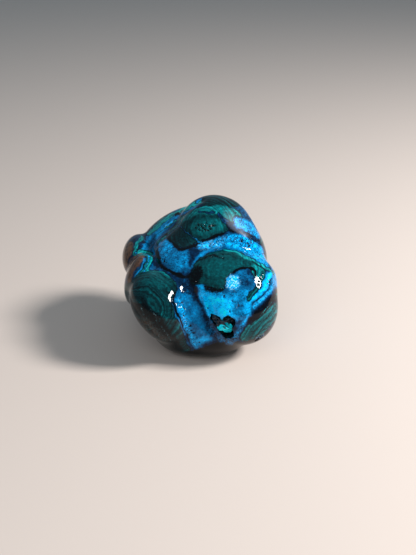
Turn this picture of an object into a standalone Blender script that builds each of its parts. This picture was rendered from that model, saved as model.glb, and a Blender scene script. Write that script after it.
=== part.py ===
"""Polished malachite and chrysocolla freeform, standing on a small flat at its base.

The stone is one lump of grown-together kidney-shaped lobes, ground and polished all over, with
one vug left open low on its front. The vug's lining is a second piece: a crust of chrysocolla
that grew on the floor of the cavity and carries one wedge-shaped point.

+Z is up and -Y is the front. Every size below is in millimetres, measured from a point in the
base. STAND_OFFSET then centres the stone over the origin, and MM turns it into Blender's metres.
"""

import math
from typing import NamedTuple

import bmesh
import bpy
import numpy as np
from mathutils import Euler

MM = 0.001
STAND_OFFSET = (0.52, -1.4, 0.0)

# Driving dimensions, in millimetres

SKIN_VOXEL = 0.5  # the size of the cubes that join the lobes into one skin
LOBE_DETAIL = 5  # how often a lobe's starting icosphere is divided
SMALL_DETAIL = 4  # the same for the vug's hollows and its crust
STONE_TRIANGLES = 8000
SHARP_EDGE = 50  # in degrees; edges that turn less are shaded smooth
GRIND_BLEND = 1.0  # the rounding between the base flat and the sides
BASE_SINK = 0.06  # how far the rounding runs below the flat that cuts it
CRUST_GAP = 0.3  # between the crust and the wall that it grew on
CRUST_FACE_DEPTH = 2.3  # from the polished surface down to the crust's face


class Lobe(NamedTuple):
    """One rounded mass of the stone. turn is in degrees about X, Y and Z; squareness is 2 for an
    ellipsoid and more for a boxier form; blend is the width of its fillet to the masses before it."""

    centre: tuple
    radii: tuple
    turn: tuple = (0, 0, 0)
    squareness: float = 2.0
    blend: float = 2.0


class Furrow(NamedTuple):
    """A soft-edged line that is pressed into the polished surface."""

    width: float
    depth: float
    path: tuple


class Facet(NamedTuple):
    """A flat face: the direction that it faces and its distance from the point's middle."""

    normal: tuple
    distance: float


LOBES = {
    "core": Lobe((0.5, 1.0, 17.0), (18.0, 16.5, 15.0), squareness=2.2, blend=3.0),
    "base": Lobe((0.6, -1.2, 8.4), (15.9, 17.4, 10.5), squareness=2.3, blend=3.0),
    "crown": Lobe((3.8, 8.0, 28.5), (11.4, 11.5, 12.3), (0, 20, 0), 2.1, 2.5),
    "shoulder": Lobe((11.1, 6.3, 23.1), (8.4, 11.0, 12.0), (0, -14, 0), blend=2.5),
    "saddle": Lobe((-5.6, 3.8, 24.8), (8.6, 9.0, 7.4), (0, -30, 0)),
    "left_flank": Lobe((-5.8, 14.1, 25.1), (14.8, 10.0, 8.6), (0, -31, 0), blend=1.0),
    "left_back": Lobe((-18.3, 8.2, 22.2), (4.8, 10.2, 5.8), blend=1.6),
    "left_fold": Lobe((-17.0, -4.4, 20.3), (4.3, 7.0, 7.9), (0, 16, 0), blend=1.5),
    "left_front": Lobe((-10.0, -10.9, 14.8), (8.0, 10.3, 11.8), (0, -38, 0), blend=1.5),
    "left_nose": Lobe((-7.4, -12.3, 19.3), (5.0, 4.6, 4.7), blend=1.0),
    "channel": Lobe((0.7, -9.8, 10.9), (6.4, 8.8, 10.8), (0, -24, 0)),
    "right_top": Lobe((8.9, -4.6, 19.6), (13.0, 12.0, 10.4), (-12, 6, 10), 2.1, 1.4),
    "right_low": Lobe((10.4, -8.8, 15.2), (11.5, 11.5, 12.1), (-20, 0, 12), 2.25, 1.6),
    "back_right": Lobe((9.5, 10.5, 14.0), (11.5, 10.5, 12.5)),
    "back_left": Lobe((-8.5, 10.0, 11.5), (11.0, 11.0, 10.5)),
    "back_knob": Lobe((1.5, 16.0, 11.5), (7.5, 6.5, 8.0), (0, 24, 0), blend=1.0),
}

FURROWS = {
    "behind_right_lobe": Furrow(
        1.7,
        0.9,
        (
            (-3.2, -11.9, 26.8),
            (-0.2, -8.8, 29.5),
            (3.1, -5.6, 30.8),
            (7.1, -3.3, 31.2),
            (11.3, -2.8, 30.2),
            (15.3, -2.6, 28.0),
            (19.0, -2.6, 24.0),
        ),
    ),
    "crown_crease": Furrow(
        1.4,
        0.5,
        ((0.0, 7.0, 40.0), (-3.2, 6.1, 37.9), (-5.8, 6.6, 34.9), (-8.6, 5.2, 32.0), (-12.0, 1.1, 29.1)),
    ),
    "left_valley": Furrow(
        1.3,
        0.5,
        ((-14.7, 1.8, 26.0), (-11.4, -7.7, 26.4), (-6.8, -11.6, 25.8), (-3.2, -12.9, 25.5)),
    ),
    "right_valley": Furrow(
        1.8,
        0.8,
        (
            (-3.0, -12.7, 25.3),
            (-2.7, -14.3, 22.6),
            (-1.2, -15.5, 20.0),
            (1.8, -17.4, 16.7),
            (3.4, -18.8, 12.4),
        ),
    ),
    "channel_rim": Furrow(
        1.1,
        0.35,
        ((-6.7, -15.6, 21.9), (-6.5, -18.6, 18.0), (-4.8, -19.5, 14.1), (-2.7, -18.5, 8.5), (-1.3, -18, 5)),
    ),
}

# The vug is four overlapping hollows, longest into the stone
HOLLOWS = (
    Lobe((4.3, -19.2, 15.0), (2.0, 3.8, 1.7), (0, 0, -14), blend=0.05),
    Lobe((7.9, -20.2, 15.0), (1.9, 3.7, 2.0), (0, 0, -14), blend=0.05),
    Lobe((7.6, -19.8, 12.0), (1.8, 3.6, 2.4), (0, 0, -14), blend=0.05),
    Lobe((5.9, -19.7, 13.6), (1.9, 3.7, 2.1), (0, 0, -14), blend=0.05),
)

# Round growths on the crust: centre and radius
NODULES = (
    ((4.4, -17.6, 15.3), 0.9),
    ((6.5, -18.0, 15.6), 0.8),
    ((5.3, -18.2, 13.7), 0.75),
    ((8.6, -18.0, 12.0), 0.8),
    ((6.7, -17.9, 11.7), 0.85),
    ((8.7, -18.1, 14.9), 0.7),
)

CRUST_CENTRE = (6.4, -17.0, 13.6)
CRUST_REACH = 6.0  # no point of the crust is farther from its centre
WEDGE_CENTRE = (6.9, -19.1, 12.9)
WEDGE_FACETS = (
    Facet((0.35, -0.35, 0.87), 0.6),
    Facet((-0.75, -0.35, 0.56), 1.1),
    Facet((0.10, -0.75, -0.66), 0.75),
    Facet((0.92, -0.30, -0.26), 1.9),
    Facet((-0.90, -0.35, -0.24), 1.6),
    Facet((0.0, 0.90, -0.44), 2.4),
)


# Distance fields: in millimetres, negative inside


def turn_matrix(lobe):
    return np.array(Euler([math.radians(angle) for angle in lobe.turn]).to_matrix())


def lobe_distance(points, lobe):
    """Distance from each point to a lobe's surface, to first order."""
    radii = np.array(lobe.radii)
    scaled = np.abs((points - np.array(lobe.centre)) @ turn_matrix(lobe)) / radii
    level = ((scaled**lobe.squareness).sum(-1) + 1e-12) ** (1 / lobe.squareness)
    slope = (scaled / level[..., None]) ** (lobe.squareness - 1) / radii
    return (level - 1) / np.linalg.norm(slope, axis=-1)


def smooth_union(first, second, blend):
    """The nearer of two distances, with a fillet of this width where they meet."""
    mix = np.clip(0.5 + 0.5 * (second - first) / blend, 0, 1)
    return second + (first - second) * mix - blend * mix * (1 - mix)


def smooth_overlap(first, second, blend):
    return -smooth_union(-first, -second, blend)


def path_distance(points, path):
    """Distance from each point to the nearest stretch of a path."""
    nearest = np.full(len(points), np.inf)
    for start, end in zip(path[:-1], path[1:]):
        start = np.array(start)
        along = np.array(end) - start
        share = np.clip(((points - start) @ along) / (along @ along), 0, 1)
        off = points - start - share[:, None] * along
        nearest = np.minimum(nearest, np.linalg.norm(off, axis=1))
    return nearest


def ball_distance(points, ball):
    centre, radius = ball
    return np.linalg.norm(points - np.array(centre), axis=1) - radius


def joined_distance(points, lobes):
    """Distance to lobes that are grown together in this order."""
    distance = lobe_distance(points, lobes[0])
    for lobe in lobes[1:]:
        distance = smooth_union(distance, lobe_distance(points, lobe), lobe.blend)
    return distance


def lump_distance(points):
    """The lobes grown together, with the furrows between them."""
    distance = joined_distance(points, list(LOBES.values()))
    for furrow in FURROWS.values():
        distance += furrow.depth * np.exp(-((path_distance(points, furrow.path) / furrow.width) ** 2))
    return distance


def polished_distance(points):
    """The lump with its ground base, before the vug."""
    return smooth_overlap(lump_distance(points), -points[:, 2] - BASE_SINK, GRIND_BLEND)


def wedge_distance(points):
    """The wedge-shaped point: what lies inside all its flat faces."""
    distance = np.full(len(points), -100.0)
    for facet in WEDGE_FACETS:
        normal = np.array(facet.normal) / np.linalg.norm(facet.normal)
        distance = np.maximum(distance, (points - np.array(WEDGE_CENTRE)) @ normal - facet.distance)
    return distance


def crust_distance(points):
    """What the vug holds below the crust's face, with the nodules and the wedge on it."""
    crust = polished_distance(points) + CRUST_FACE_DEPTH
    for ball in NODULES:
        crust = smooth_union(crust, ball_distance(points, ball), 0.3)
    crust = smooth_union(crust, wedge_distance(points), 0.2)
    return smooth_overlap(crust, joined_distance(points, HOLLOWS) + CRUST_GAP, 0.3)


# Mesh steps


def coordinates(bm):
    return np.array([v.co for v in bm.verts])


def place(bm, points):
    for vertex, point in zip(bm.verts, points):
        vertex.co = point


def slopes(field, points, step=0.02):
    """The field's slope, from four samples at the corners of a small tetrahedron."""
    corners = np.array([(1, -1, -1), (-1, -1, 1), (-1, 1, -1), (1, 1, 1)], float)
    return sum(corner * field(points + corner * step)[:, None] for corner in corners) / (4 * step)


def lay_on_surface(points, field, steps):
    """Moves points along the field's slope until they lie on its surface."""
    for _ in range(steps):
        slope = slopes(field, points)
        length = np.maximum(np.linalg.norm(slope, axis=1), 0.3)
        points = points - slope * (field(points) / length**2)[:, None]
    return points


def draw_back(centre, points, field, halvings=24):
    """Moves each point, which lies outside, toward the centre to where its ray enters the solid."""
    centre = np.array(centre)
    near = np.zeros(len(points))
    far = np.ones(len(points))
    for _ in range(halvings):
        middle = (near + far) / 2
        inside = field(centre + (points - centre) * middle[:, None]) < 0
        near = np.where(inside, middle, near)
        far = np.where(inside, far, middle)
    return centre + (points - centre) * near[:, None]


def even_out(bm, field, rounds):
    """Smooths the mesh and lays it back on the field's surface, in turns, so its faces even out."""
    for _ in range(rounds):
        bmesh.ops.smooth_vert(
            bm, verts=bm.verts, factor=0.5, use_axis_x=True, use_axis_y=True, use_axis_z=True
        )
        place(bm, lay_on_surface(coordinates(bm), field, steps=1))
    place(bm, lay_on_surface(coordinates(bm), field, steps=2))


def draft_object(bm, collection):
    """An object to put modifiers on, which takes the mesh over."""
    draft = bpy.data.objects.new("draft", bpy.data.meshes.new("draft"))
    bm.to_mesh(draft.data)
    bm.free()
    collection.objects.link(draft)
    return draft


def as_modified(draft):
    """The mesh as the draft's modifiers leave it; the draft is removed."""
    graph = bpy.context.evaluated_depsgraph_get()
    mesh = bpy.data.meshes.new_from_object(draft.evaluated_get(graph))
    bpy.data.objects.remove(draft)
    made = bmesh.new()
    made.from_mesh(mesh)
    bpy.data.meshes.remove(mesh)
    return made


# The two pieces


def add_lobe(bm, lobe, subdivisions):
    """Adds a ball that is pulled out to the lobe's form."""
    ball = bmesh.ops.create_icosphere(bm, subdivisions=subdivisions, radius=1)["verts"]
    turned = turn_matrix(lobe)
    radii = np.array(lobe.radii)
    for vertex in ball:
        ray = np.array(vertex.co)
        reach = (np.abs(ray / radii) ** lobe.squareness).sum() ** (-1 / lobe.squareness)
        vertex.co = np.array(lobe.centre) + turned @ (ray * reach)


def join_lobes(collection):
    """All lobes in one closed skin, laid on the polished surface."""
    bm = bmesh.new()
    for lobe in LOBES.values():
        add_lobe(bm, lobe, LOBE_DETAIL)
    draft = draft_object(bm, collection)
    remesh = draft.modifiers.new("One skin", "REMESH")
    remesh.mode = "VOXEL"
    remesh.voxel_size = SKIN_VOXEL
    bm = as_modified(draft)
    even_out(bm, polished_distance, 4)
    bmesh.ops.triangulate(bm, faces=bm.faces)
    return bm


def make_cutter(hollow, collection):
    bm = bmesh.new()
    add_lobe(bm, hollow, SMALL_DETAIL)
    cutter = draft_object(bm, collection)
    cutter.name = "vug_hollow"
    cutter.display_type = "WIRE"
    cutter.hide_render = True
    return cutter


def cut_vug(bm, collection):
    """Hollows the vug out of the skin, then thins the triangles where the surface is even."""
    draft = draft_object(bm, collection)
    for hollow in HOLLOWS:
        cut = draft.modifiers.new("Vug", "BOOLEAN")
        cut.operation = "DIFFERENCE"
        cut.object = make_cutter(hollow, collection)
    thinning = draft.modifiers.new("Thinning", "DECIMATE")
    thinning.ratio = STONE_TRIANGLES / len(draft.data.polygons)
    return as_modified(draft)


def grind_flat(bm, height):
    """Cuts the mesh off level at this height and closes the cut with one flat face."""
    everything = bm.verts[:] + bm.edges[:] + bm.faces[:]
    cut = bmesh.ops.bisect_plane(
        bm, geom=everything, plane_co=(0, 0, height), plane_no=(0, 0, -1), clear_outer=True, dist=1e-5
    )
    rim = [edge for edge in cut["geom_cut"] if isinstance(edge, bmesh.types.BMEdge)]
    bmesh.ops.contextual_create(bm, geom=rim)


def show(bm, name, material, collection):
    """Makes a named object in metres from a mesh that was drawn in millimetres."""
    bmesh.ops.translate(bm, vec=STAND_OFFSET, verts=bm.verts)
    bmesh.ops.scale(bm, vec=(MM, MM, MM), verts=bm.verts)
    bmesh.ops.recalc_face_normals(bm, faces=bm.faces)
    mesh = bpy.data.meshes.new(name)
    bm.to_mesh(mesh)
    bm.free()
    mesh.shade_smooth()
    mesh.set_sharp_from_angle(angle=math.radians(SHARP_EDGE))
    mesh.materials.append(material)
    collection.objects.link(bpy.data.objects.new(name, mesh))


def make_stone(material, collection, cutters):
    bm = cut_vug(join_lobes(cutters), cutters)
    grind_flat(bm, 0.0)
    show(bm, "stone", material, collection)


def make_crust(material, collection):
    bm = bmesh.new()
    bmesh.ops.create_icosphere(bm, subdivisions=SMALL_DETAIL, radius=CRUST_REACH)
    bmesh.ops.translate(bm, vec=CRUST_CENTRE, verts=bm.verts)
    place(bm, draw_back(CRUST_CENTRE, coordinates(bm), crust_distance))
    even_out(bm, crust_distance, 3)
    show(bm, "vug_crust", material, collection)


def principled(name, colour, roughness):
    material = bpy.data.materials.new(name)
    material.use_nodes = True
    shader = material.node_tree.nodes["Principled BSDF"]
    shader.inputs["Base Color"].default_value = (*colour, 1)
    shader.inputs["Roughness"].default_value = roughness
    shader.inputs["Metallic"].default_value = 0
    return material


def main():
    for old in list(bpy.data.objects):
        bpy.data.objects.remove(old)
    specimen = bpy.data.collections.new("malachite_chrysocolla_specimen")
    cutters = bpy.data.collections.new("cutters")
    bpy.context.scene.collection.children.link(specimen)
    bpy.context.scene.collection.children.link(cutters)
    make_stone(principled("polished_stone", (0.01, 0.16, 0.20), 0.08), specimen, cutters)
    make_crust(principled("chrysocolla_crust", (0.02, 0.42, 0.50), 0.45), specimen)


main()
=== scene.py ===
# %% [markdown]
# # A polished lump of malachite and chrysocolla
#
# The stone is one natural lump. Round masses of green malachite and blue chrysocolla grew into each
# other, and someone ground and polished the whole of it, so it has no seams, only soft valleys
# between its lobes. Low on the front one vug stays open, with a rough cyan crust inside.
#
# The looks are built in this order: the lump's skin, the vug, the small pits, the minerals' colours,
# which are painted onto the mesh as numbers, the crust, and last the light and the camera.

import itertools
import math
from typing import NamedTuple

import bmesh
import bpy
import numpy as np
from mathutils import Euler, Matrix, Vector


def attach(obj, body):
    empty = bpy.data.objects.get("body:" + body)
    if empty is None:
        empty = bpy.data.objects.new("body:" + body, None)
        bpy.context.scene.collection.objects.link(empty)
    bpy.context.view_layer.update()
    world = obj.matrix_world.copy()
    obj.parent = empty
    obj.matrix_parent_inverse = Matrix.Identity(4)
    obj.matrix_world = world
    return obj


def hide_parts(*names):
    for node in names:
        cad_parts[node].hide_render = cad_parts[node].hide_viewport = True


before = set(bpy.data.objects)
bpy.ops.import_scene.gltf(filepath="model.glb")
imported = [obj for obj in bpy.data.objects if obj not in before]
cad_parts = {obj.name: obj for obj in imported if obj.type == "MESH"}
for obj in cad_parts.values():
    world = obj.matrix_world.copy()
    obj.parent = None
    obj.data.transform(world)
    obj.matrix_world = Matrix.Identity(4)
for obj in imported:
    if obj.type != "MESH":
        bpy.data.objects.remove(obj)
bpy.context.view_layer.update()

MM = 0.001
STAND_OFFSET = np.array((0.52, -1.4, 0.0))

# %% [markdown]
# ## The lobes
#
# A lump like this could be sculpted by hand, but then nobody could change it later. Here each mass is
# an ellipsoid, or a boxier cousin of one, with a place, three radii and a turn. All sizes are in
# millimetres. The list is the same one that the solid model was built from, so the skin lands on it.


# %% The lobes and the furrows between them
class Lobe(NamedTuple):
    """One rounded mass. turn is in degrees; squareness is 2 for an ellipsoid and more for a boxier
    form; blend is the width of its fillet to the masses before it."""

    centre: tuple
    radii: tuple
    turn: tuple = (0, 0, 0)
    squareness: float = 2.0
    blend: float = 2.0


LOBES = {
    "core": Lobe((0.5, 1.0, 17.0), (18.0, 16.5, 15.0), squareness=2.2, blend=3.0),
    "base": Lobe((0.6, -1.2, 8.4), (15.9, 17.4, 10.5), squareness=2.3, blend=3.0),
    "crown": Lobe((3.8, 8.0, 28.5), (11.4, 11.5, 12.3), (0, 20, 0), 2.1, 2.5),
    "shoulder": Lobe((11.1, 6.3, 23.1), (8.4, 11.0, 12.0), (0, -14, 0), blend=2.5),
    "saddle": Lobe((-5.6, 3.8, 24.8), (8.6, 9.0, 7.4), (0, -30, 0)),
    "left_flank": Lobe((-5.8, 14.1, 25.1), (14.8, 10.0, 8.6), (0, -31, 0), blend=1.0),
    "left_back": Lobe((-18.3, 8.2, 22.2), (4.8, 10.2, 5.8), blend=1.6),
    "left_fold": Lobe((-17.0, -4.4, 20.3), (4.3, 7.0, 7.9), (0, 16, 0), blend=1.5),
    "left_front": Lobe((-10.0, -10.9, 14.8), (8.0, 10.3, 11.8), (0, -38, 0), blend=1.5),
    "left_nose": Lobe((-7.4, -12.3, 19.3), (5.0, 4.6, 4.7), blend=1.0),
    "channel": Lobe((0.7, -9.8, 10.9), (6.4, 8.8, 10.8), (0, -24, 0)),
    "right_top": Lobe((8.9, -4.6, 19.6), (13.0, 12.0, 10.4), (-12, 6, 10), 2.1, 1.4),
    "right_low": Lobe((10.4, -8.8, 15.2), (11.5, 11.5, 12.1), (-20, 0, 12), 2.25, 1.6),
    "back_right": Lobe((9.5, 10.5, 14.0), (11.5, 10.5, 12.5)),
    "back_left": Lobe((-8.5, 10.0, 11.5), (11.0, 11.0, 10.5)),
    "back_knob": Lobe((1.5, 16.0, 11.5), (7.5, 6.5, 8.0), (0, 24, 0), blend=1.0),
}

# Width, depth and path of each soft line that is pressed into the skin
FURROWS = {
    "behind_right_lobe": (
        1.7,
        0.9,
        (
            (-3.2, -11.9, 26.8), (-0.2, -8.8, 29.5), (3.1, -5.6, 30.8), (7.1, -3.3, 31.2),
            (11.3, -2.8, 30.2), (15.3, -2.6, 28.0), (19.0, -2.6, 24.0),
        ),
    ),
    "crown_crease": (
        1.4,
        0.5,
        ((0.0, 7.0, 40.0), (-3.2, 6.1, 37.9), (-5.8, 6.6, 34.9), (-8.6, 5.2, 32.0), (-12.0, 1.1, 29.1)),
    ),
    "left_valley": (
        1.3,
        0.5,
        ((-14.7, 1.8, 26.0), (-11.4, -7.7, 26.4), (-6.8, -11.6, 25.8), (-3.2, -12.9, 25.5)),
    ),
    "right_valley": (
        1.8,
        0.8,
        (
            (-3.0, -12.7, 25.3), (-2.7, -14.3, 22.6), (-1.2, -15.5, 20.0), (1.8, -17.4, 16.7),
            (3.4, -18.8, 12.4),
        ),
    ),
    "channel_rim": (
        1.1,
        0.35,
        ((-6.7, -15.6, 21.9), (-6.5, -18.6, 18.0), (-4.8, -19.5, 14.1), (-2.7, -18.5, 8.5), (-1.3, -18, 5)),
    ),
}
GRIND_BLEND = 1.0  # the rounding between the base flat and the sides
print(len(LOBES), "lobes and", len(FURROWS), "furrows")

# %% [markdown]
# ## The distance field
#
# A distance field answers one question for any point: how far is it from the skin, and on which side?
# Two fields join with a fillet when their smaller value is smoothed. That fillet is what makes the
# lobes look grown together and polished over, and not like balls pushed into each other.


# %% Distances
TINY = 1e-12  # keeps the slope defined at a lobe's own middle


def turn_matrix(lobe):
    return np.array(Euler([math.radians(angle) for angle in lobe.turn]).to_matrix())


def lobe_distance(points, lobe):
    """Distance from each point to a lobe's surface, to first order."""
    radii = np.array(lobe.radii)
    scaled = np.abs((points - np.array(lobe.centre)) @ turn_matrix(lobe)) / radii
    level = ((scaled**lobe.squareness).sum(-1) + TINY) ** (1 / lobe.squareness)
    slope = (scaled / level[..., None]) ** (lobe.squareness - 1) / radii
    return (level - 1) / np.linalg.norm(slope, axis=-1)


def smooth_union(first, second, blend):
    """The nearer of two distances, with a fillet of this width where they meet."""
    mix = np.clip(0.5 + 0.5 * (second - first) / blend, 0, 1)
    return second + (first - second) * mix - blend * mix * (1 - mix)


def smooth_overlap(first, second, blend):
    return -smooth_union(-first, -second, blend)


def path_distance(points, path):
    """Distance from each point to the nearest stretch of a path, in a plane or in space."""
    nearest = np.full(len(points), np.inf)
    for start, end in zip(path[:-1], path[1:]):
        start = np.array(start, float)
        along = np.array(end) - start
        share = np.clip(((points - start) @ along) / (along @ along), 0, 1)
        off = points - start - share[:, None] * along
        nearest = np.minimum(nearest, np.linalg.norm(off, axis=1))
    return nearest


def joined_distance(points, lobes):
    """Distance to lobes that are grown together in this order."""
    distance = lobe_distance(points, lobes[0])
    for lobe in lobes[1:]:
        distance = smooth_union(distance, lobe_distance(points, lobe), lobe.blend)
    return distance


def polished_distance(points):
    """The lump with its furrows and its ground base, before the vug."""
    distance = joined_distance(points, list(LOBES.values()))
    for width, depth, path in FURROWS.values():
        distance += depth * np.exp(-((path_distance(points, path) / width) ** 2))
    return smooth_overlap(distance, -points[:, 2], GRIND_BLEND)


core_middle = np.array([LOBES["core"].centre])
print("the core's middle lies", -polished_distance(core_middle).round(1)[0], "mm under the skin")

# %% [markdown]
# ## The skin
#
# Each lobe starts as an icosphere that is pulled out to its form. The Remesh modifier then wraps all
# of them in one closed skin of even squares. Smoothing and laying the skin back on the field, in
# turns, takes the steps out of it, which a polished surface would show at once in its reflections.

# %% Move points onto a field
LEAST_SLOPE = 0.3  # where a field is flatter than this, a point's move is held back


def coordinates(bm):
    return np.array([v.co for v in bm.verts])


def place(bm, points):
    for vertex, point in zip(bm.verts, points):
        vertex.co = point


def normals_of(bm):
    bm.normal_update()
    return np.array([v.normal for v in bm.verts])


def push_out(bm, distances):
    """Moves each point along its normal by its own distance."""
    place(bm, coordinates(bm) + normals_of(bm) * distances[:, None])


def slopes(field, points, step=0.02):
    """The field's slope, from four samples at the corners of a small tetrahedron."""
    corners = np.array([(1, -1, -1), (-1, -1, 1), (-1, 1, -1), (1, 1, 1)], float)
    return sum(corner * field(points + corner * step)[:, None] for corner in corners) / (4 * step)


def lay_on_surface(points, field, steps):
    """Moves points along the field's slope until they lie on its surface."""
    for _ in range(steps):
        slope = slopes(field, points)
        length = np.maximum(np.linalg.norm(slope, axis=1), LEAST_SLOPE)
        points = points - slope * (field(points) / length**2)[:, None]
    return points


def smooth(bm, verts):
    bmesh.ops.smooth_vert(bm, verts=verts, factor=0.5, use_axis_x=True, use_axis_y=True, use_axis_z=True)


# %% Balls, modifiers and one skin
def add_lobe(bm, lobe, subdivisions):
    """Adds a ball that is pulled out to the lobe's form."""
    ball = bmesh.ops.create_icosphere(bm, subdivisions=subdivisions, radius=1)["verts"]
    turned = turn_matrix(lobe)
    radii = np.array(lobe.radii)
    for vertex in ball:
        ray = np.array(vertex.co)
        reach = (np.abs(ray / radii) ** lobe.squareness).sum() ** (-1 / lobe.squareness)
        vertex.co = np.array(lobe.centre) + turned @ (ray * reach)


def draft_object(bm):
    """An object to put modifiers on, which takes the mesh over."""
    draft = bpy.data.objects.new("draft", bpy.data.meshes.new("draft"))
    bm.to_mesh(draft.data)
    bm.free()
    bpy.context.scene.collection.objects.link(draft)
    return draft


def as_modified(draft):
    """The mesh as the draft's modifiers leave it; the draft is removed."""
    graph = bpy.context.evaluated_depsgraph_get()
    mesh = bpy.data.meshes.new_from_object(draft.evaluated_get(graph))
    bpy.data.objects.remove(draft)
    made = bmesh.new()
    made.from_mesh(mesh)
    bpy.data.meshes.remove(mesh)
    return made


def one_skin(bm, voxel):
    """Wraps everything in the mesh in one closed skin."""
    draft = draft_object(bm)
    remesh = draft.modifiers.new("One skin", "REMESH")
    remesh.mode = "VOXEL"
    remesh.voxel_size = voxel
    return as_modified(draft)


# %% [markdown]
# ## Noise
#
# Grown edges wander and broken stone is uneven, so several steps below push things about at random.
# Blender's own noise functions take one point at a time. This one works on all points together: it
# has a fixed random value at each corner of a lattice, and blends smoothly in between.

# %% Noise
SCRAMBLE = (127.1, 311.7, 74.7)  # any large, uneven numbers make the corners look random
SCRAMBLE_SCALE = 43758.5453


def smooth_step(low, high, values):
    share = np.clip((values - low) / (high - low), 0, 1)
    return share * share * (3 - 2 * share)


def lattice_value(corners, offset):
    """A fixed random value between -1 and 1 for each corner of a unit lattice."""
    mixed = np.sin(corners @ np.array(SCRAMBLE) + offset)
    return 2 * np.modf(np.abs(mixed) * SCRAMBLE_SCALE)[0] - 1


def noise_at(points, scale, offset=0.0):
    """Smooth noise between -1 and 1; scale is its waves per millimetre."""
    cells, part = np.divmod(points * scale, 1.0)
    part = smooth_step(0, 1, part)
    total = np.zeros(len(points))
    for corner in itertools.product((0, 1), repeat=3):
        weight = np.prod(np.where(corner, part, 1 - part), axis=1)
        total += weight * lattice_value(cells + corner, offset)
    return total


# %% Wrap the lobes
SKIN_VOXEL = 0.345  # the size of the skin's squares
LOBE_DETAIL = 5  # how often a lobe's starting icosphere is divided
SMOOTHING_ROUNDS = 3

stone = bmesh.new()
for lobe in LOBES.values():
    add_lobe(stone, lobe, LOBE_DETAIL)
stone = one_skin(stone, SKIN_VOXEL)
for _ in range(SMOOTHING_ROUNDS):
    smooth(stone, stone.verts)
    place(stone, lay_on_surface(coordinates(stone), polished_distance, 1))
place(stone, lay_on_surface(coordinates(stone), polished_distance, 1))
print("skin:", len(stone.verts), "points")

# %% [markdown]
# ## The vug
#
# The vug is a gap that the minerals never filled. Cutting it with a Boolean keeps the skin outside
# untouched. A plain ball would leave a rim as round as a drill's, so each cutter's surface is first
# pushed in and out with noise, and the opening comes out as ragged as a natural one.

# %% Cut the vug
HOLLOW_DETAIL = 5
HOLLOW_RELIEF = 0.3  # how far the noise pushes a cutter's surface
HOLLOWS = (
    Lobe((4.3, -19.2, 15.0), (2.0, 3.8, 1.7), (0, 0, -14), blend=0.05),
    Lobe((7.9, -20.2, 15.0), (1.9, 3.7, 2.0), (0, 0, -14), blend=0.05),
    Lobe((7.6, -19.8, 12.0), (1.8, 3.6, 2.4), (0, 0, -14), blend=0.05),
    Lobe((5.9, -19.7, 13.6), (1.9, 3.7, 2.1), (0, 0, -14), blend=0.05),
)


def cut_hollows(bm, hollows):
    """Cuts each hollow out with a ball whose surface is pushed about with noise."""
    draft = draft_object(bm)
    cutters = []
    for hollow in hollows:
        cutter = bmesh.new()
        add_lobe(cutter, hollow, HOLLOW_DETAIL)
        points = coordinates(cutter)
        ragged = noise_at(points, 0.9) + 0.6 * noise_at(points, 2.2, 4)
        push_out(cutter, HOLLOW_RELIEF * ragged)
        cutters.append(draft_object(cutter))
        cut = draft.modifiers.new("Vug", "BOOLEAN")
        cut.operation = "DIFFERENCE"
        cut.object = cutters[-1]
    made = as_modified(draft)
    for cutter in cutters:
        bpy.data.objects.remove(cutter)
    return made


stone = cut_hollows(stone, HOLLOWS)
print("with the vug:", len(stone.verts), "points")

# %% [markdown]
# ## The photo's picture plane
#
# The colours follow no formula, so each patch is placed where the photo shows it. A point on the
# stone is first carried into the picture, as a lens would: across by its distance to the right of
# the camera's axis over its depth, and down in the same way. Everything that is placed by a pixel
# below uses these few lines.

# %% Camera numbers
FRAME_W = 416
FRAME_H = 555
CAMERA_DISTANCE = 260.0
STONE_WIDTH = 45.0
STONE_PIXELS = 155.0  # the stone's width in the photo
FOCAL_PIXELS = CAMERA_DISTANCE * STONE_PIXELS / STONE_WIDTH
ELEVATION = math.radians(25)
AIM = np.array((2.3, 0.0, 19.0))  # the point in the picture's middle
RIGHT = np.array((1.0, 0.0, 0.0))
UP = np.array((0.0, math.sin(ELEVATION), math.cos(ELEVATION)))
FORWARD = np.array((0.0, math.cos(ELEVATION), -math.sin(ELEVATION)))
EYE = AIM - FORWARD * CAMERA_DISTANCE
HEAD_START = 32.0  # how far in front of the aim the walk along a ray begins
RAY_STEPS = 60
STEP_SHARE = 0.8  # of the distance to the skin, so that no step goes through it


def picture_of(points):
    """The pixel that each point falls on."""
    offset = points - EYE
    depth = offset @ FORWARD
    across = FRAME_W / 2 + FOCAL_PIXELS * (offset @ RIGHT) / depth
    down = FRAME_H / 2 - FOCAL_PIXELS * (offset @ UP) / depth
    return np.stack([across, down], -1)


def under_pixels(pixels, depth=0.0):
    """The points on the polished surface that the pixels show, or this far behind it."""
    across, down = np.array(pixels, float).T
    rays = FORWARD * FOCAL_PIXELS + np.outer(across - FRAME_W / 2, RIGHT) + np.outer(FRAME_H / 2 - down, UP)
    rays /= np.linalg.norm(rays, axis=1)[:, None]
    reach = np.full(len(rays), CAMERA_DISTANCE - HEAD_START)
    for _ in range(RAY_STEPS):
        reach += STEP_SHARE * polished_distance(EYE + rays * reach[:, None])
    return EYE + rays * (reach + depth)[:, None]


def under_pixel(pixel, depth=0.0):
    return under_pixels([pixel], depth)[0]


print("the vug is at", under_pixel((221, 327)).round(1))

# %% [markdown]
# ## Pits
#
# Small pits are what is left of tiny gaps in the chrysocolla. A pit under a millimetre wide still
# catches the light on a polished stone, so it is real geometry: the faces round it are cut finer and
# pushed in. They sit in the clusters where the photo shows them, and a few more on the other sides.

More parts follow.
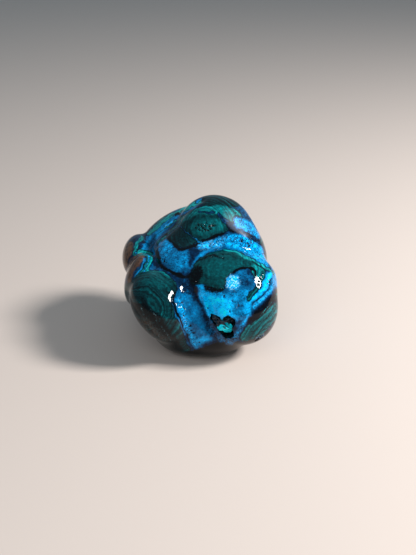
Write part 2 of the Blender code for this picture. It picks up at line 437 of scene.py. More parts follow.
# %% Where the pits are
# Radius in millimetres, then the pixels of the pits
PIT_SPOTS = {
    "crown eye": (
        0.42,
        (196, 227.5), (199.5, 229.5), (202.5, 228), (202, 231.2), (204.6, 230), (206.2, 222.8), (205, 225.8),
        (208.8, 226.3), (210, 228.8), (212.6, 225), (214.4, 225.8), (198, 225), (200.8, 225.6),
        (207.4, 230.2),
    ),
    "cyan band": (0.38, (247.4, 243.6), (248.8, 246.5), (242, 241), (236.5, 238.6), (251, 241.8)),
    "fleck band": (0.28, (210, 244.6), (214.6, 243.2), (217.8, 244.6), (221, 241.4), (206, 246.4)),
    "saddle": (0.36, (164.4, 260.8), (165.8, 262.4), (161.8, 259.6)),
    "channel": (
        0.34,
        (180, 298.2), (182, 302), (180.3, 305.2), (184.6, 308), (183.2, 313), (184.4, 315.6), (186.6, 320),
        (187, 324.6), (190.4, 326.2), (191, 330.4), (193.4, 333.8), (193.6, 338.4), (196.6, 338.4),
        (199.4, 342.6), (196.8, 343.8), (201.6, 345.2),
    ),
    "azure face": (0.42, (207.2, 308.6), (224, 297), (232, 301), (238.4, 306.5), (229.6, 311.4)),
    "cap edge": (0.3, (217.6, 288), (222.4, 289.4), (211.6, 256.6), (216.2, 255.6), (222, 254.8)),
    "turquoise stripe": (
        0.3,
        (262.6, 274.6), (260.6, 278), (259.2, 281.2), (258.8, 284.6), (268.8, 280), (267.8, 283.6),
        (266.2, 287),
    ),
    "notch": (0.75, (260.6, 336.8), (257.4, 339.6)),
}
BACK_PITS = (
    ((9.0, 21.0, 20.0), 0.45), ((10.2, 20.4, 21.2), 0.4), ((11.4, 20.6, 19.4), 0.5),
    ((-9.0, 20.5, 12.0), 0.4), ((-10.2, 19.9, 13.2), 0.35), ((6.5, 18.5, 34.0), 0.4),
    ((7.6, 18.0, 34.9), 0.35), ((21.0, 4.0, 22.0), 0.45), ((21.2, 5.4, 20.6), 0.35),
)
print(sum(len(spots) - 1 for spots in PIT_SPOTS.values()), "pits in front,", len(BACK_PITS), "elsewhere")

# %% Press the pits in
PIT_DEPTH = 0.75  # of its radius
PIT_WARP = 0.3  # how far its rim wanders
PIT_SURROUND = 1.6  # the mesh is cut finer this many radii round a pit


def pit_list():
    """Centre and radius of every pit."""
    pits = []
    for radius, *spots in PIT_SPOTS.values():
        pits += [(centre, radius) for centre in under_pixels(spots)]
    for spot, radius in BACK_PITS:
        pits.append((lay_on_surface(np.array([spot]), polished_distance, 4)[0], radius))
    return pits


def pit_closeness(points, pits):
    """1 at a pit's middle, falling to nothing a little past its rim, which isn't quite round."""
    warped = points + PIT_WARP * np.stack([noise_at(points, 2.2, offset) for offset in (1, 5, 9)], -1)
    closeness = np.zeros(len(points))
    for centre, radius in pits:
        away = np.linalg.norm(warped - centre, axis=1) / radius
        closeness = np.maximum(closeness, np.exp(-(away**4)))
    return closeness


def press_pits(bm, pits):
    middles = np.array([(e.verts[0].co + e.verts[1].co) / 2 for e in bm.edges])
    near = pit_closeness(middles, [(centre, radius * PIT_SURROUND) for centre, radius in pits]) > 0.2
    edges = [e for e, chosen in zip(bm.edges, near) if chosen]
    bmesh.ops.subdivide_edges(bm, edges=edges, cuts=2, use_grid_fill=True)
    points = coordinates(bm)
    normals = normals_of(bm)
    for radius in {radius for _, radius in pits}:
        pressed = pit_closeness(points, [pit for pit in pits if pit[1] == radius])
        points -= normals * (PIT_DEPTH * radius * pressed)[:, None]
    place(bm, points)


PITS = pit_list()
press_pits(stone, PITS)
print("with", len(PITS), "pits:", len(stone.verts), "points")

# %% [markdown]
# ## Painting with numbers
#
# The stone's minerals are painted onto the mesh as plain numbers, one set per point: how much
# malachite there is, how light it is, how blue the chrysocolla is, how black. The material reads
# them later and adds what is finer than the mesh. A baked picture would give the same view, but it
# would hold one photo's light, and it would stop at its own pixels.
#
# Patches and strokes are laid over each other, as with a brush. Their corners are rounded and their
# edges wander with the noise, so that nothing looks ruled.


# %% A touch of the brush
class Touch(NamedTuple):
    """One touch of the brush: an outline or a path in the photo's pixels, and the values it lays.
    A patch has no width."""

    path: list
    width: float
    soft: float
    values: dict


def patch(*outline, soft=1.2, **values):
    return Touch(list(outline), 0, soft, values)


def stroke(*path, width=2.0, soft=0.8, **values):
    return Touch(list(path), width, soft, values)


# %% Outlines and paths
def rounded(points, closed):
    """The path with its corners cut, twice over."""
    for _ in range(2):
        ends = points[1:] + points[:1] if closed else points[1:]
        cut = [] if closed else [points[0]]
        for (x0, y0), (x1, y1) in zip(points, ends):
            cut.append((0.75 * x0 + 0.25 * x1, 0.75 * y0 + 0.25 * y1))
            cut.append((0.25 * x0 + 0.75 * x1, 0.25 * y0 + 0.75 * y1))
        points = cut if closed else cut + [points[-1]]
    return points


def inside_distance(pixels, outline):
    """Distance to a closed outline, positive inside."""
    closed = outline + outline[:1]
    inside = np.zeros(len(pixels), bool)
    for (x0, y0), (x1, y1) in zip(closed[:-1], closed[1:]):
        if y0 != y1:
            crosses = (y0 > pixels[:, 1]) != (y1 > pixels[:, 1])
            inside ^= crosses & (pixels[:, 0] < x0 + (pixels[:, 1] - y0) * (x1 - x0) / (y1 - y0))
    distance = path_distance(pixels, closed)
    return np.where(inside, distance, -distance)


# %% The painter
WANDER = 1.5  # how far an edge strays, in pixels
BEND = 1.1  # how far rings and masses stray, in millimetres
FRONT_FADE = (-0.32, -0.04)  # a touch ends on points that face away from the camera
FRONT_WANDER = 0.08
RING_SHARE = 0.02  # a touch brings its rings wherever it covers more than this


class Painter:
    """Holds the numbers for each point, and lays the touches over them."""

    def __init__(self, points, normals, start):
        self.layers = {name: np.full(len(points), float(value)) for name, value in start.items()}
        wander = [noise_at(points, 0.4, offset) + 0.6 * noise_at(points, 1.2, offset) for offset in (3, 17)]
        self.pixels = picture_of(points) + WANDER * np.stack(wander, -1)
        bends = [noise_at(points, 0.16, offset) for offset in (5, 9, 13)]
        self.warped = points + BEND * np.stack(bends, -1)
        facing = FRONT_WANDER * noise_at(points, 0.25) - normals @ FORWARD
        self.front = smooth_step(*FRONT_FADE, facing)

    def lay(self, chosen, coverage, values):
        """Mixes the values in; a growth ring's distance replaces the old one instead."""
        for name, value in values.items():
            if callable(value):
                value = value(self.warped[chosen])
            share = coverage > RING_SHARE if name == "band" else coverage
            old = self.layers[name][chosen]
            self.layers[name][chosen] = old + (value - old) * share

    def touch(self, touch):
        margin = touch.width + 4 * touch.soft
        low = np.min(touch.path, axis=0) - margin
        high = np.max(touch.path, axis=0) + margin
        boxed = ((self.pixels > low) & (self.pixels < high)).all(axis=1)
        chosen = np.flatnonzero(boxed & (self.front > 0))
        if touch.width:
            off = path_distance(self.pixels[chosen], rounded(touch.path, False))
            inside = touch.width / 2 - off
        else:
            inside = inside_distance(self.pixels[chosen], rounded(touch.path, True))
        coverage = smooth_step(-touch.soft, touch.soft, inside) * self.front[chosen]
        self.lay(chosen, coverage, touch.values)

    def touches(self, touches):
        for touch in touches.values():
            self.touch(touch)
        print("painted", ", ".join(touches))

    def mass(self, centre, radii, soft, **values):
        """A rounded mass in space, in millimetres, for the sides and the back."""
        reach = np.linalg.norm((self.warped - np.array(centre)) / np.array(radii), axis=1)
        chosen = np.flatnonzero(reach < 1 + 2 * soft)
        self.lay(chosen, smooth_step(-soft, soft, 1 - reach[chosen]), values)

    def vein(self, path, width, soft=0.4, **values):
        """A line in space, in millimetres, for the sides and the back."""
        off = path_distance(self.warped, path)
        chosen = np.flatnonzero(off < width + 2 * soft)
        self.lay(chosen, smooth_step(-soft, soft, width / 2 - off[chosen]), values)


# %% Growth rings and stripes
MM_PER_PIXEL = STONE_WIDTH / STONE_PIXELS


def rings_round(centre):
    """Growth rings: the distance from the point where the malachite began."""
    return lambda points: np.linalg.norm(points - np.array(centre), axis=1)


def rings_under(pixel, depth=2.0):
    return rings_round(under_pixel(pixel, depth))


def stripes_along(*path):
    """Growth stripes: the distance from a path in the photo's pixels."""
    return lambda points: path_distance(picture_of(points), path) * MM_PER_PIXEL


# %% Start the painting
START = {
    "malachite": 0,  # how much of the point is green malachite
    "tone": 0.35,  # the malachite's lightness
    "blue": 0.24,  # from black through navy and azure to turquoise
    "black": 0,
    "umber": 0,  # brown: partly brown stone, partly a painted reflection of warm surroundings
    "specks": 0.1,  # black specks and veinlets
    "pale": 0,  # pale flecks, and painted glints where a touch sets it high
    "band": 0,  # the distance that growth rings are drawn along, in millimetres
    "banding": 1,  # how strongly the rings show
    "satin": 0,  # where the polish is softer
}
stone_points = coordinates(stone)
paint = Painter(stone_points, normals_of(stone), START)
paint.layers["blue"] += 0.14 * noise_at(stone_points, 0.11) + 0.06 * noise_at(stone_points, 0.4)
print("painting", len(stone_points), "points;", int((paint.front > 0.5).sum()), "face the front")

# %% [markdown]
# ## The back and the sides
#
# The photo shows the front alone, so the rest is painted after the habit of the same rock: dark green
# kidneys with fine rings, each with a black rim, and blue to turquoise chrysocolla that fills the
# room between them.

# %% Paint the back and the sides
# Centre, radii and blueness of each blue mass
BACK_BLUES = {
    "right back": ((13.5, 18.0, 19.5), (9.0, 7.5, 8.0), 0.68),
    "middle": ((0.5, 21.0, 17.0), (7.5, 6.0, 5.5), 0.68),
    "crown right": ((15.0, 12.0, 33.0), (6.0, 8.0, 7.0), 0.86),
    "right side": ((21.0, -1.0, 18.0), (5.0, 9.0, 6.5), 0.78),
    "flank top": ((-1.0, 16.0, 34.0), (6.5, 6.0, 5.0), 0.7),
    "left side": ((-19.0, 3.0, 13.0), (5.5, 8.0, 5.5), 0.7),
}
# Centre, radii, lightness and growth point of each green kidney
BACK_GREENS = {
    "flank": ((-9.0, 21.5, 27.5), (9.0, 8.5, 6.5), 0.45, (-11.0, 20.0, 28.0)),
    "left low": ((-13.0, 16.5, 9.5), (9.5, 9.0, 7.5), 0.35, (-16.0, 15.0, 8.0)),
    "right low": ((17.0, 13.5, 8.5), (8.5, 9.5, 6.5), 0.5, (20.0, 12.0, 6.0)),
    "crown back": ((9.5, 17.5, 37.0), (8.0, 6.5, 6.5), 0.4, (8.5, 18.5, 36.0)),
    "right side": ((21.5, 3.5, 27.0), (4.5, 6.5, 6.0), 0.55, (22.0, 3.0, 27.0)),
    "knob": ((2.0, 22.5, 9.0), (5.5, 4.5, 5.0), 0.6, (2.5, 22.5, 8.0)),
    "left side": ((-20.5, 12.0, 20.5), (4.5, 6.5, 4.5), 0.45, (-22.0, 12.0, 20.0)),
    "lower left side": ((-17.0, -2.0, 8.0), (6.0, 9.0, 6.0), 0.35, (-19.0, -1.0, 6.0)),
}
# Width and path of each black vein
BACK_VEINS = {
    "over the back": (1.4, ((-14, 20, 20), (-6, 24, 19.5), (1, 23.5, 22.5), (7, 21, 27), (12, 18, 27))),
    "down the back": (1.2, ((4, 23, 16), (7, 22, 11), (9, 20, 4))),
    "right side": (1.3, ((18, 16, 24), (21.5, 10, 20), (22, 4, 15), (22, -3, 9))),
}
BLACK_RIM = 1.12

for centre, radii, level in BACK_BLUES.values():
    paint.mass(centre, radii, soft=0.3, blue=level, specks=0.6)
for centre, radii, tone, growth in BACK_GREENS.values():
    paint.mass(centre, [radius * BLACK_RIM for radius in radii], soft=0.1, blue=0.2, black=0.25)
    paint.mass(centre, radii, soft=0.05, malachite=1, tone=tone, black=0, band=rings_round(growth))
for width, path in BACK_VEINS.values():
    paint.vein(path, width, black=0.9, blue=0.1)
print("back:", len(BACK_GREENS), "green kidneys,", len(BACK_BLUES), "blue masses")

# %% [markdown]
# ## The crown
#
# The crown is the lump's top: a green eye with a cluster of pits in it, ringed in black, with pale
# blue chrysocolla flowing down on its right side. One patch there has a softer polish, because a
# plain mirror would show the lamp where the photo shows none.

# %% Paint the crown
EYE_RINGS = rings_under((206, 228))
CROWN = {
    "dark ground": patch(
        (186, 206), (203, 197), (215, 191), (228, 193), (241, 205), (256, 224), (266, 242), (262, 258),
        (240, 252), (215, 250), (190, 258), (165, 250), (163, 236), (172, 222), soft=2, blue=0.26, black=0.15,
    ),
    "teal band": patch(
        (188, 213), (200, 205), (222, 203), (236, 209), (243, 218), (234, 224), (224, 217), (206, 214),
        (192, 219), (180, 226), (176, 222), malachite=1, tone=0.66, band=EYE_RINGS, banding=0.7,
    ),
    "dark top": patch(
        (203, 197), (216, 190), (229, 192), (241, 203), (236, 207), (222, 204.5), (207, 205.5), (199, 203),
        malachite=1, tone=0.2, band=EYE_RINGS,
    ),
    "navy under the top": stroke((198, 210.5), (206, 212), (214, 212), width=2.2, malachite=0.3, blue=0.3),
    "eye": patch(
        (170, 234), (176, 227), (186, 219), (197, 214), (212, 213), (224, 217), (230, 226), (226, 233),
        (213, 237), (202, 240), (192, 245), (184, 248), (176, 246), (170, 241),
        soft=1.8, malachite=1, tone=0.32, black=0, band=EYE_RINGS, banding=0.45, specks=0.4,
    ),
    "eye's inside": patch(
        (189, 226), (194, 220.5), (205, 217), (216, 218.5), (224, 223), (225.5, 227), (220, 231.5),
        (209, 235.5), (201, 238), (195, 235.5), (190.5, 231), soft=2.6, tone=0.6, specks=0.5,
    ),
    "eye's dark left": patch(
        (169, 236), (175, 229), (184, 230), (191, 238), (188, 246), (179, 248.5), (172, 243),
        soft=4.2, tone=0.17, black=0.36, specks=0.7,
    ),
    "rim": stroke(
        (168, 234), (171, 244), (179, 250.5), (190, 248), (200, 243), (212, 238.5), (223, 234),
        width=3.2, soft=1.5, black=0.95, specks=0.8,
    ),
    "streak": stroke(
        (218, 215), (225, 220.5), (230, 227), (232, 232), width=3.2, soft=1.4, black=0.8, malachite=0.2,
    ),
    "pale vein": stroke(
        (177.5, 224), (184, 230), (191, 236.5), (197, 240.5), (202, 242.5),
        width=1.0, soft=0.7, malachite=0, black=0, blue=0.5,
    ),
}
CROWN_RIGHT = {
    "speckled strip": patch(
        (229, 209), (235, 207), (243, 216), (247, 223), (241, 224), (235, 218), (230, 214),
        malachite=0.7, tone=0.8, specks=0.8, black=0, band=EYE_RINGS,
    ),
    "upper cyan": patch(
        (233, 216), (243, 217), (251, 223), (258, 231), (262, 240), (258, 243), (249, 239), (240, 233),
        (234, 225), soft=1.8, blue=0.66, malachite=0, black=0, specks=0.9,
    ),
    "navy diagonal": stroke(
        (218, 215), (226, 222), (233, 228), (239, 232.5), (246, 236), (253, 239), (262, 247), (267, 253),
        width=3.2, soft=1.4, blue=0.16, malachite=0, black=0.25,
    ),
    "lower cyan": patch(
        (221, 239), (229, 234.5), (240, 234.5), (249, 238), (257, 242.5), (264, 252), (268, 262),
        (268, 268), (258, 262), (249, 256), (241, 252), (231, 248), (223, 245),
        soft=1.8, blue=0.7, malachite=0, black=0, specks=1,
    ),
    "fleck band": patch(
        (197, 244), (207, 241), (218, 238.5), (225, 240), (224, 246), (214, 248.5), (205, 250), (197, 249),
        blue=0.64, malachite=0, black=0, specks=0.9, pale=0.15,
    ),
    "softer polish": patch(
        (221, 212), (228, 205), (240, 206), (250, 214), (257, 226), (254, 236), (244, 236), (233, 231),
        (225, 222), soft=3, satin=1,
    ),
    "dark crack": stroke((238, 229), (247, 234), (256, 238), (261, 242), width=2.2, blue=0.2, black=0.3),
}
paint.touches(CROWN)
paint.touches(CROWN_RIGHT)

# %% [markdown]
# ## The saddle and the left side
#
# Between the crown and the two front lobes lies a blue saddle. Left of it a flank of streaked teal
# runs up behind the crown, and two folds end in dark brown, which is partly brown stone and partly a
# painted reflection of warm surroundings.

# %% Paint the saddle and the left side
FLANK_STRIPES = stripes_along((146, 240), (160, 227), (180, 213), (200, 200))
BACK_LOBE_STRIPES = stripes_along((126, 258), (138, 236))
LOOP_STRIPES = stripes_along((126, 256), (140, 248), (147, 248.5), (154, 253), (155, 262), (143, 279))
SADDLE = {
    "left blue": patch(
        (157, 241), (162, 238.5), (169, 241), (173, 248), (171, 256), (168, 261), (163, 263), (159.5, 259),
        (157.5, 251), soft=2.2, blue=0.66, malachite=0, black=0, specks=0.7,
    ),
    "middle blue": patch(
        (168, 250), (178, 251), (187, 251), (192, 256), (191, 262), (185, 269), (180, 273), (173, 271.5),
        (168, 266), (164, 262), (164, 256), soft=3.0, blue=0.5, malachite=0, black=0, specks=0.6,
    ),
    "navy": patch(
        (187, 249), (199, 247), (204, 250), (202, 257), (198, 266), (192, 272), (188, 266), (190, 257),
        soft=2.4, blue=0.16, malachite=0, black=0.25,
    ),
    "link": stroke(
        (192, 269), (196, 260), (203, 252.5), (212, 249.5), width=3.6, soft=1.6, blue=0.5, malachite=0,
    ),
    "valley": stroke(
        (157, 250), (158.5, 261), (163, 268.5), (174, 273.5), (187, 277.5), width=3.8, soft=2.0, black=0.95,
    ),
    "valley's end": stroke(
        (187, 277.5), (194, 270), (199, 262), width=3.2, soft=1.8, black=0.7, blue=0.12,
    ),
}
LEFT_FLANK = {
    "ground": patch(
        (146, 236), (155, 226), (165, 218), (177, 211), (190, 204), (203, 198), (199, 205), (190, 211),
        (180, 217), (172, 223), (166, 230), (159, 238), (156, 248), (153, 256), (147, 252),
        malachite=0, blue=0.56, black=0, specks=0.3,
    ),
    "outer teal": stroke(
        (146, 238), (156, 226.5), (167, 218), (180, 210.5), (194, 202.5),
        width=4.4, malachite=1, tone=0.82, band=FLANK_STRIPES, banding=1.3,
    ),
    "navy": stroke((150, 241), (160, 231.5), (171, 224.5), (184, 215.5), width=1.6, blue=0.3),
    # An azure streak whose pale flecks are a painted glint line.
    "azure": stroke((156.5, 236), (164, 228.5), (173, 221.5), width=1.6, blue=0.84, pale=0.35),
    "thin teal": stroke(
        (150, 243), (159, 233), (170, 225), (182, 216.5), width=0.8, soft=0.6, malachite=1, tone=0.95,
        band=FLANK_STRIPES,
    ),
    "inner azure": stroke((152, 246), (157, 238), (163, 232.5), width=1.8, blue=0.62),
    "inner teal": stroke(
        (153, 252), (158, 243), (166, 235), (174, 227), (181, 220), width=2.0, malachite=1, tone=0.6,
        band=FLANK_STRIPES,
    ),
    "black dot": stroke((176, 215.5), (179.5, 213.5), width=2.2, black=0.9),
    "upper teal": stroke(
        (182, 212), (191, 207), (201, 202), width=2.4, malachite=0.8, tone=0.95, band=FLANK_STRIPES,
    ),
    "foot": patch(
        (147, 240), (154, 238), (158, 243), (158, 252), (152, 256), (147, 250),
        soft=1.8, malachite=0.3, tone=0.5, blue=0.42, specks=0.5,
    ),
}
LEFT_FOLDS = {
    "back lobe": patch(
        (120, 262), (121, 250), (127, 240), (136, 236), (146, 234), (149, 240), (146, 250), (139, 256),
        (133, 262), (127, 275), (122, 280), black=0.3, malachite=0, blue=0.16,
    ),
    "back lobe's blue": stroke(
        (148, 237), (145, 246), (142, 252), width=3.4, blue=0.46, malachite=0, black=0, specks=0.4,
    ),
    "back lobe's teal": stroke(
        (141, 238), (136.5, 246), (134, 253), (136, 256.5), width=4.6, malachite=1, tone=0.62, black=0,
        band=BACK_LOBE_STRIPES,
    ),
    "back lobe's azure": stroke((135.5, 252), (138, 256), (141, 253.5), blue=0.72, malachite=0, black=0),
    # Brown at both folds' ends: partly brown stone, partly a painted reflection of warm surroundings.
    "back lobe's brown end with reflection": patch(
        (120, 255), (124, 246), (131, 240), (133, 246), (130, 256), (126, 268), (122, 279),
        soft=1.4, black=0.1, umber=0.9, malachite=0, blue=0.05,
    ),
    "fold's brown end with reflection": patch(
        (126, 282), (127, 268), (133, 257), (140, 253), (146, 256), (142, 263), (134, 272), (129, 284),
        soft=1.0, black=0.1, umber=0.8, malachite=0, blue=0.05,
    ),
    "loop": stroke(
        (140, 253), (147, 252.6), (150.5, 255.5), (150.6, 261), (146.4, 269), (140, 276), (133, 284.5),
        width=5.6, malachite=1, tone=0.7, black=0, band=LOOP_STRIPES, banding=1.2,
    ),
    "cyan line": stroke(
        (147, 253.6), (149.8, 256), (149.8, 261), (145.6, 269), (139.4, 276),
        width=1.3, soft=0.7, malachite=0, blue=0.6, black=0,
    ),
    "inner cyan": stroke(
        (143, 257), (145.2, 259), (144, 263.5), (139.8, 270.5), (135, 277.5),
        width=1.6, soft=0.7, malachite=0, blue=0.58, black=0,
    ),
    "navy inside": stroke(
        (142.6, 262), (136, 272), (130.5, 282), (130, 290), width=2.6, malachite=0, blue=0.22, black=0.2,
    ),
}
paint.touches(SADDLE)
paint.touches(LEFT_FLANK)
paint.touches(LEFT_FOLDS)

# %% [markdown]
# ## The left front lobe and the channel
#
# The left front lobe is dark malachite, whose fine rings run round a point low on its left. Beside it
# a blue channel runs down to the base. The rings need no drawing: the material makes them from the
# distance to one point that lies a little inside the stone.

# %% Paint the left front lobe and the channel
LOBE_RINGS = rings_under((147, 308), depth=4.0)
LEFT_LOBE = {
    "ground": patch(
        (146, 271), (151, 270.5), (160, 271), (167.5, 275), (175, 281), (177.5, 289), (174, 295),
        (172.5, 302.5), (175, 316), (180, 325), (185, 337.5), (190, 347.5), (184, 356), (160, 350),
        (142, 335), (126, 312), (121, 295), (126, 282), (135, 277.5),
        malachite=1, tone=0.27, black=0, blue=0.2, band=LOBE_RINGS, banding=0.85, specks=0.2,
    ),
    "blue top": patch(
        (137, 279), (148, 273), (160, 274), (170, 279), (174, 287), (166, 290), (154, 286), (142, 288),
        soft=3, tone=0.4, banding=0.6,
    ),
    "crest": stroke(
        (148, 272.6), (162.5, 273.5), (172.5, 279.5), (178, 286), width=3, soft=1.6, tone=0.55,
    ),
    # Painted highlight: lighter green along the arc above the black foot.
    "painted highlight arc": stroke((148, 299), (151, 307), (158, 313.5), (166, 318.5), width=3, soft=2, tone=0.56),
    "black foot": patch(
        (126, 296), (135, 302.5), (142.5, 301.2), (148.8, 303.8), (151.2, 311.2), (160, 312.5),
        (165, 320), (168.8, 327.5), (175, 335), (186, 348), (180, 360), (150, 350), (130, 328), (120, 308),
        soft=2.6, black=0.62, tone=0.2, specks=0.9,
    ),
    # Brown patches on the foot: a painted reflection of a dark warm floor.
    "foot's reflected brown": patch(
        (131, 312), (141, 316), (150, 321), (157, 330), (164, 338), (172, 347), (166, 354), (148, 344),
        (134, 327), soft=4, black=0.4, umber=0.25, specks=1, pale=0.05,
    ),
    # Three pale scratches; the pale flecks along them are partly painted glints.
    "left scratch": stroke((140, 305), (143, 311), (144.5, 315), width=0.5, soft=0.5, pale=0.5, black=0.3),
    "middle scratch": stroke((150, 309), (155, 316), (158, 322), width=0.5, soft=0.5, pale=0.5, black=0.3),
    "right scratch": stroke((160, 324), (166, 333), (170, 340), width=0.5, soft=0.5, pale=0.4, black=0.3),
    "black line": stroke(
        (176, 292), (174, 299), (175.5, 311), (181.2, 323), (189, 337.5), (194.5, 350), width=2, black=0.95,
    ),
}
CHANNEL = {
    "ground": patch(
        (178.1, 293.8), (185, 292.5), (190, 291.2), (195, 301.2), (200, 311.2), (205, 317.5), (208.8, 325),
        (218.8, 335), (216.2, 337), (205, 342.5), (195, 351.5), (191.2, 341.2), (183.8, 325), (178.8, 310),
        (176.2, 301.2), soft=1.6, blue=0.42, malachite=0, black=0, specks=0.3,
    ),
    "dark head": patch(
        (177, 281), (186, 279), (194, 282), (198, 291), (197, 298), (191, 294), (181, 293), (178, 289),
        soft=2.4, black=0.4, blue=0.2, specks=0.6,
    ),
    "bright left": stroke(
        (179, 300), (182, 315), (188, 328.8), (196.2, 344.5), width=4.2, soft=2.2, blue=0.72, malachite=0,
        black=0, specks=1,
    ),
    "bright foot": stroke((198, 342), (205, 339), (216, 335), width=5, soft=2.2, blue=0.72, specks=0.3),
    "black foot": patch(
        (185, 351), (197.5, 349.5), (210, 343.5), (222.5, 340), (235, 341.5), (247.5, 343.5), (260, 338.5),
        (271, 328.8), (276, 332), (262, 352), (236, 362), (197, 364), (178, 358),
        soft=1.6, black=0.88, blue=0.05, malachite=0,
    ),
}
paint.touches(LEFT_LOBE)
paint.touches(CHANNEL)

# %% [markdown]
# ## The right front lobe
#
# The right front lobe has a green cap over azure chrysocolla, with turquoise and banded malachite
# down its right side. Here the order of the touches matters most: broad patches first, then what
# lies over them. The three dark lines of the banded side come last.

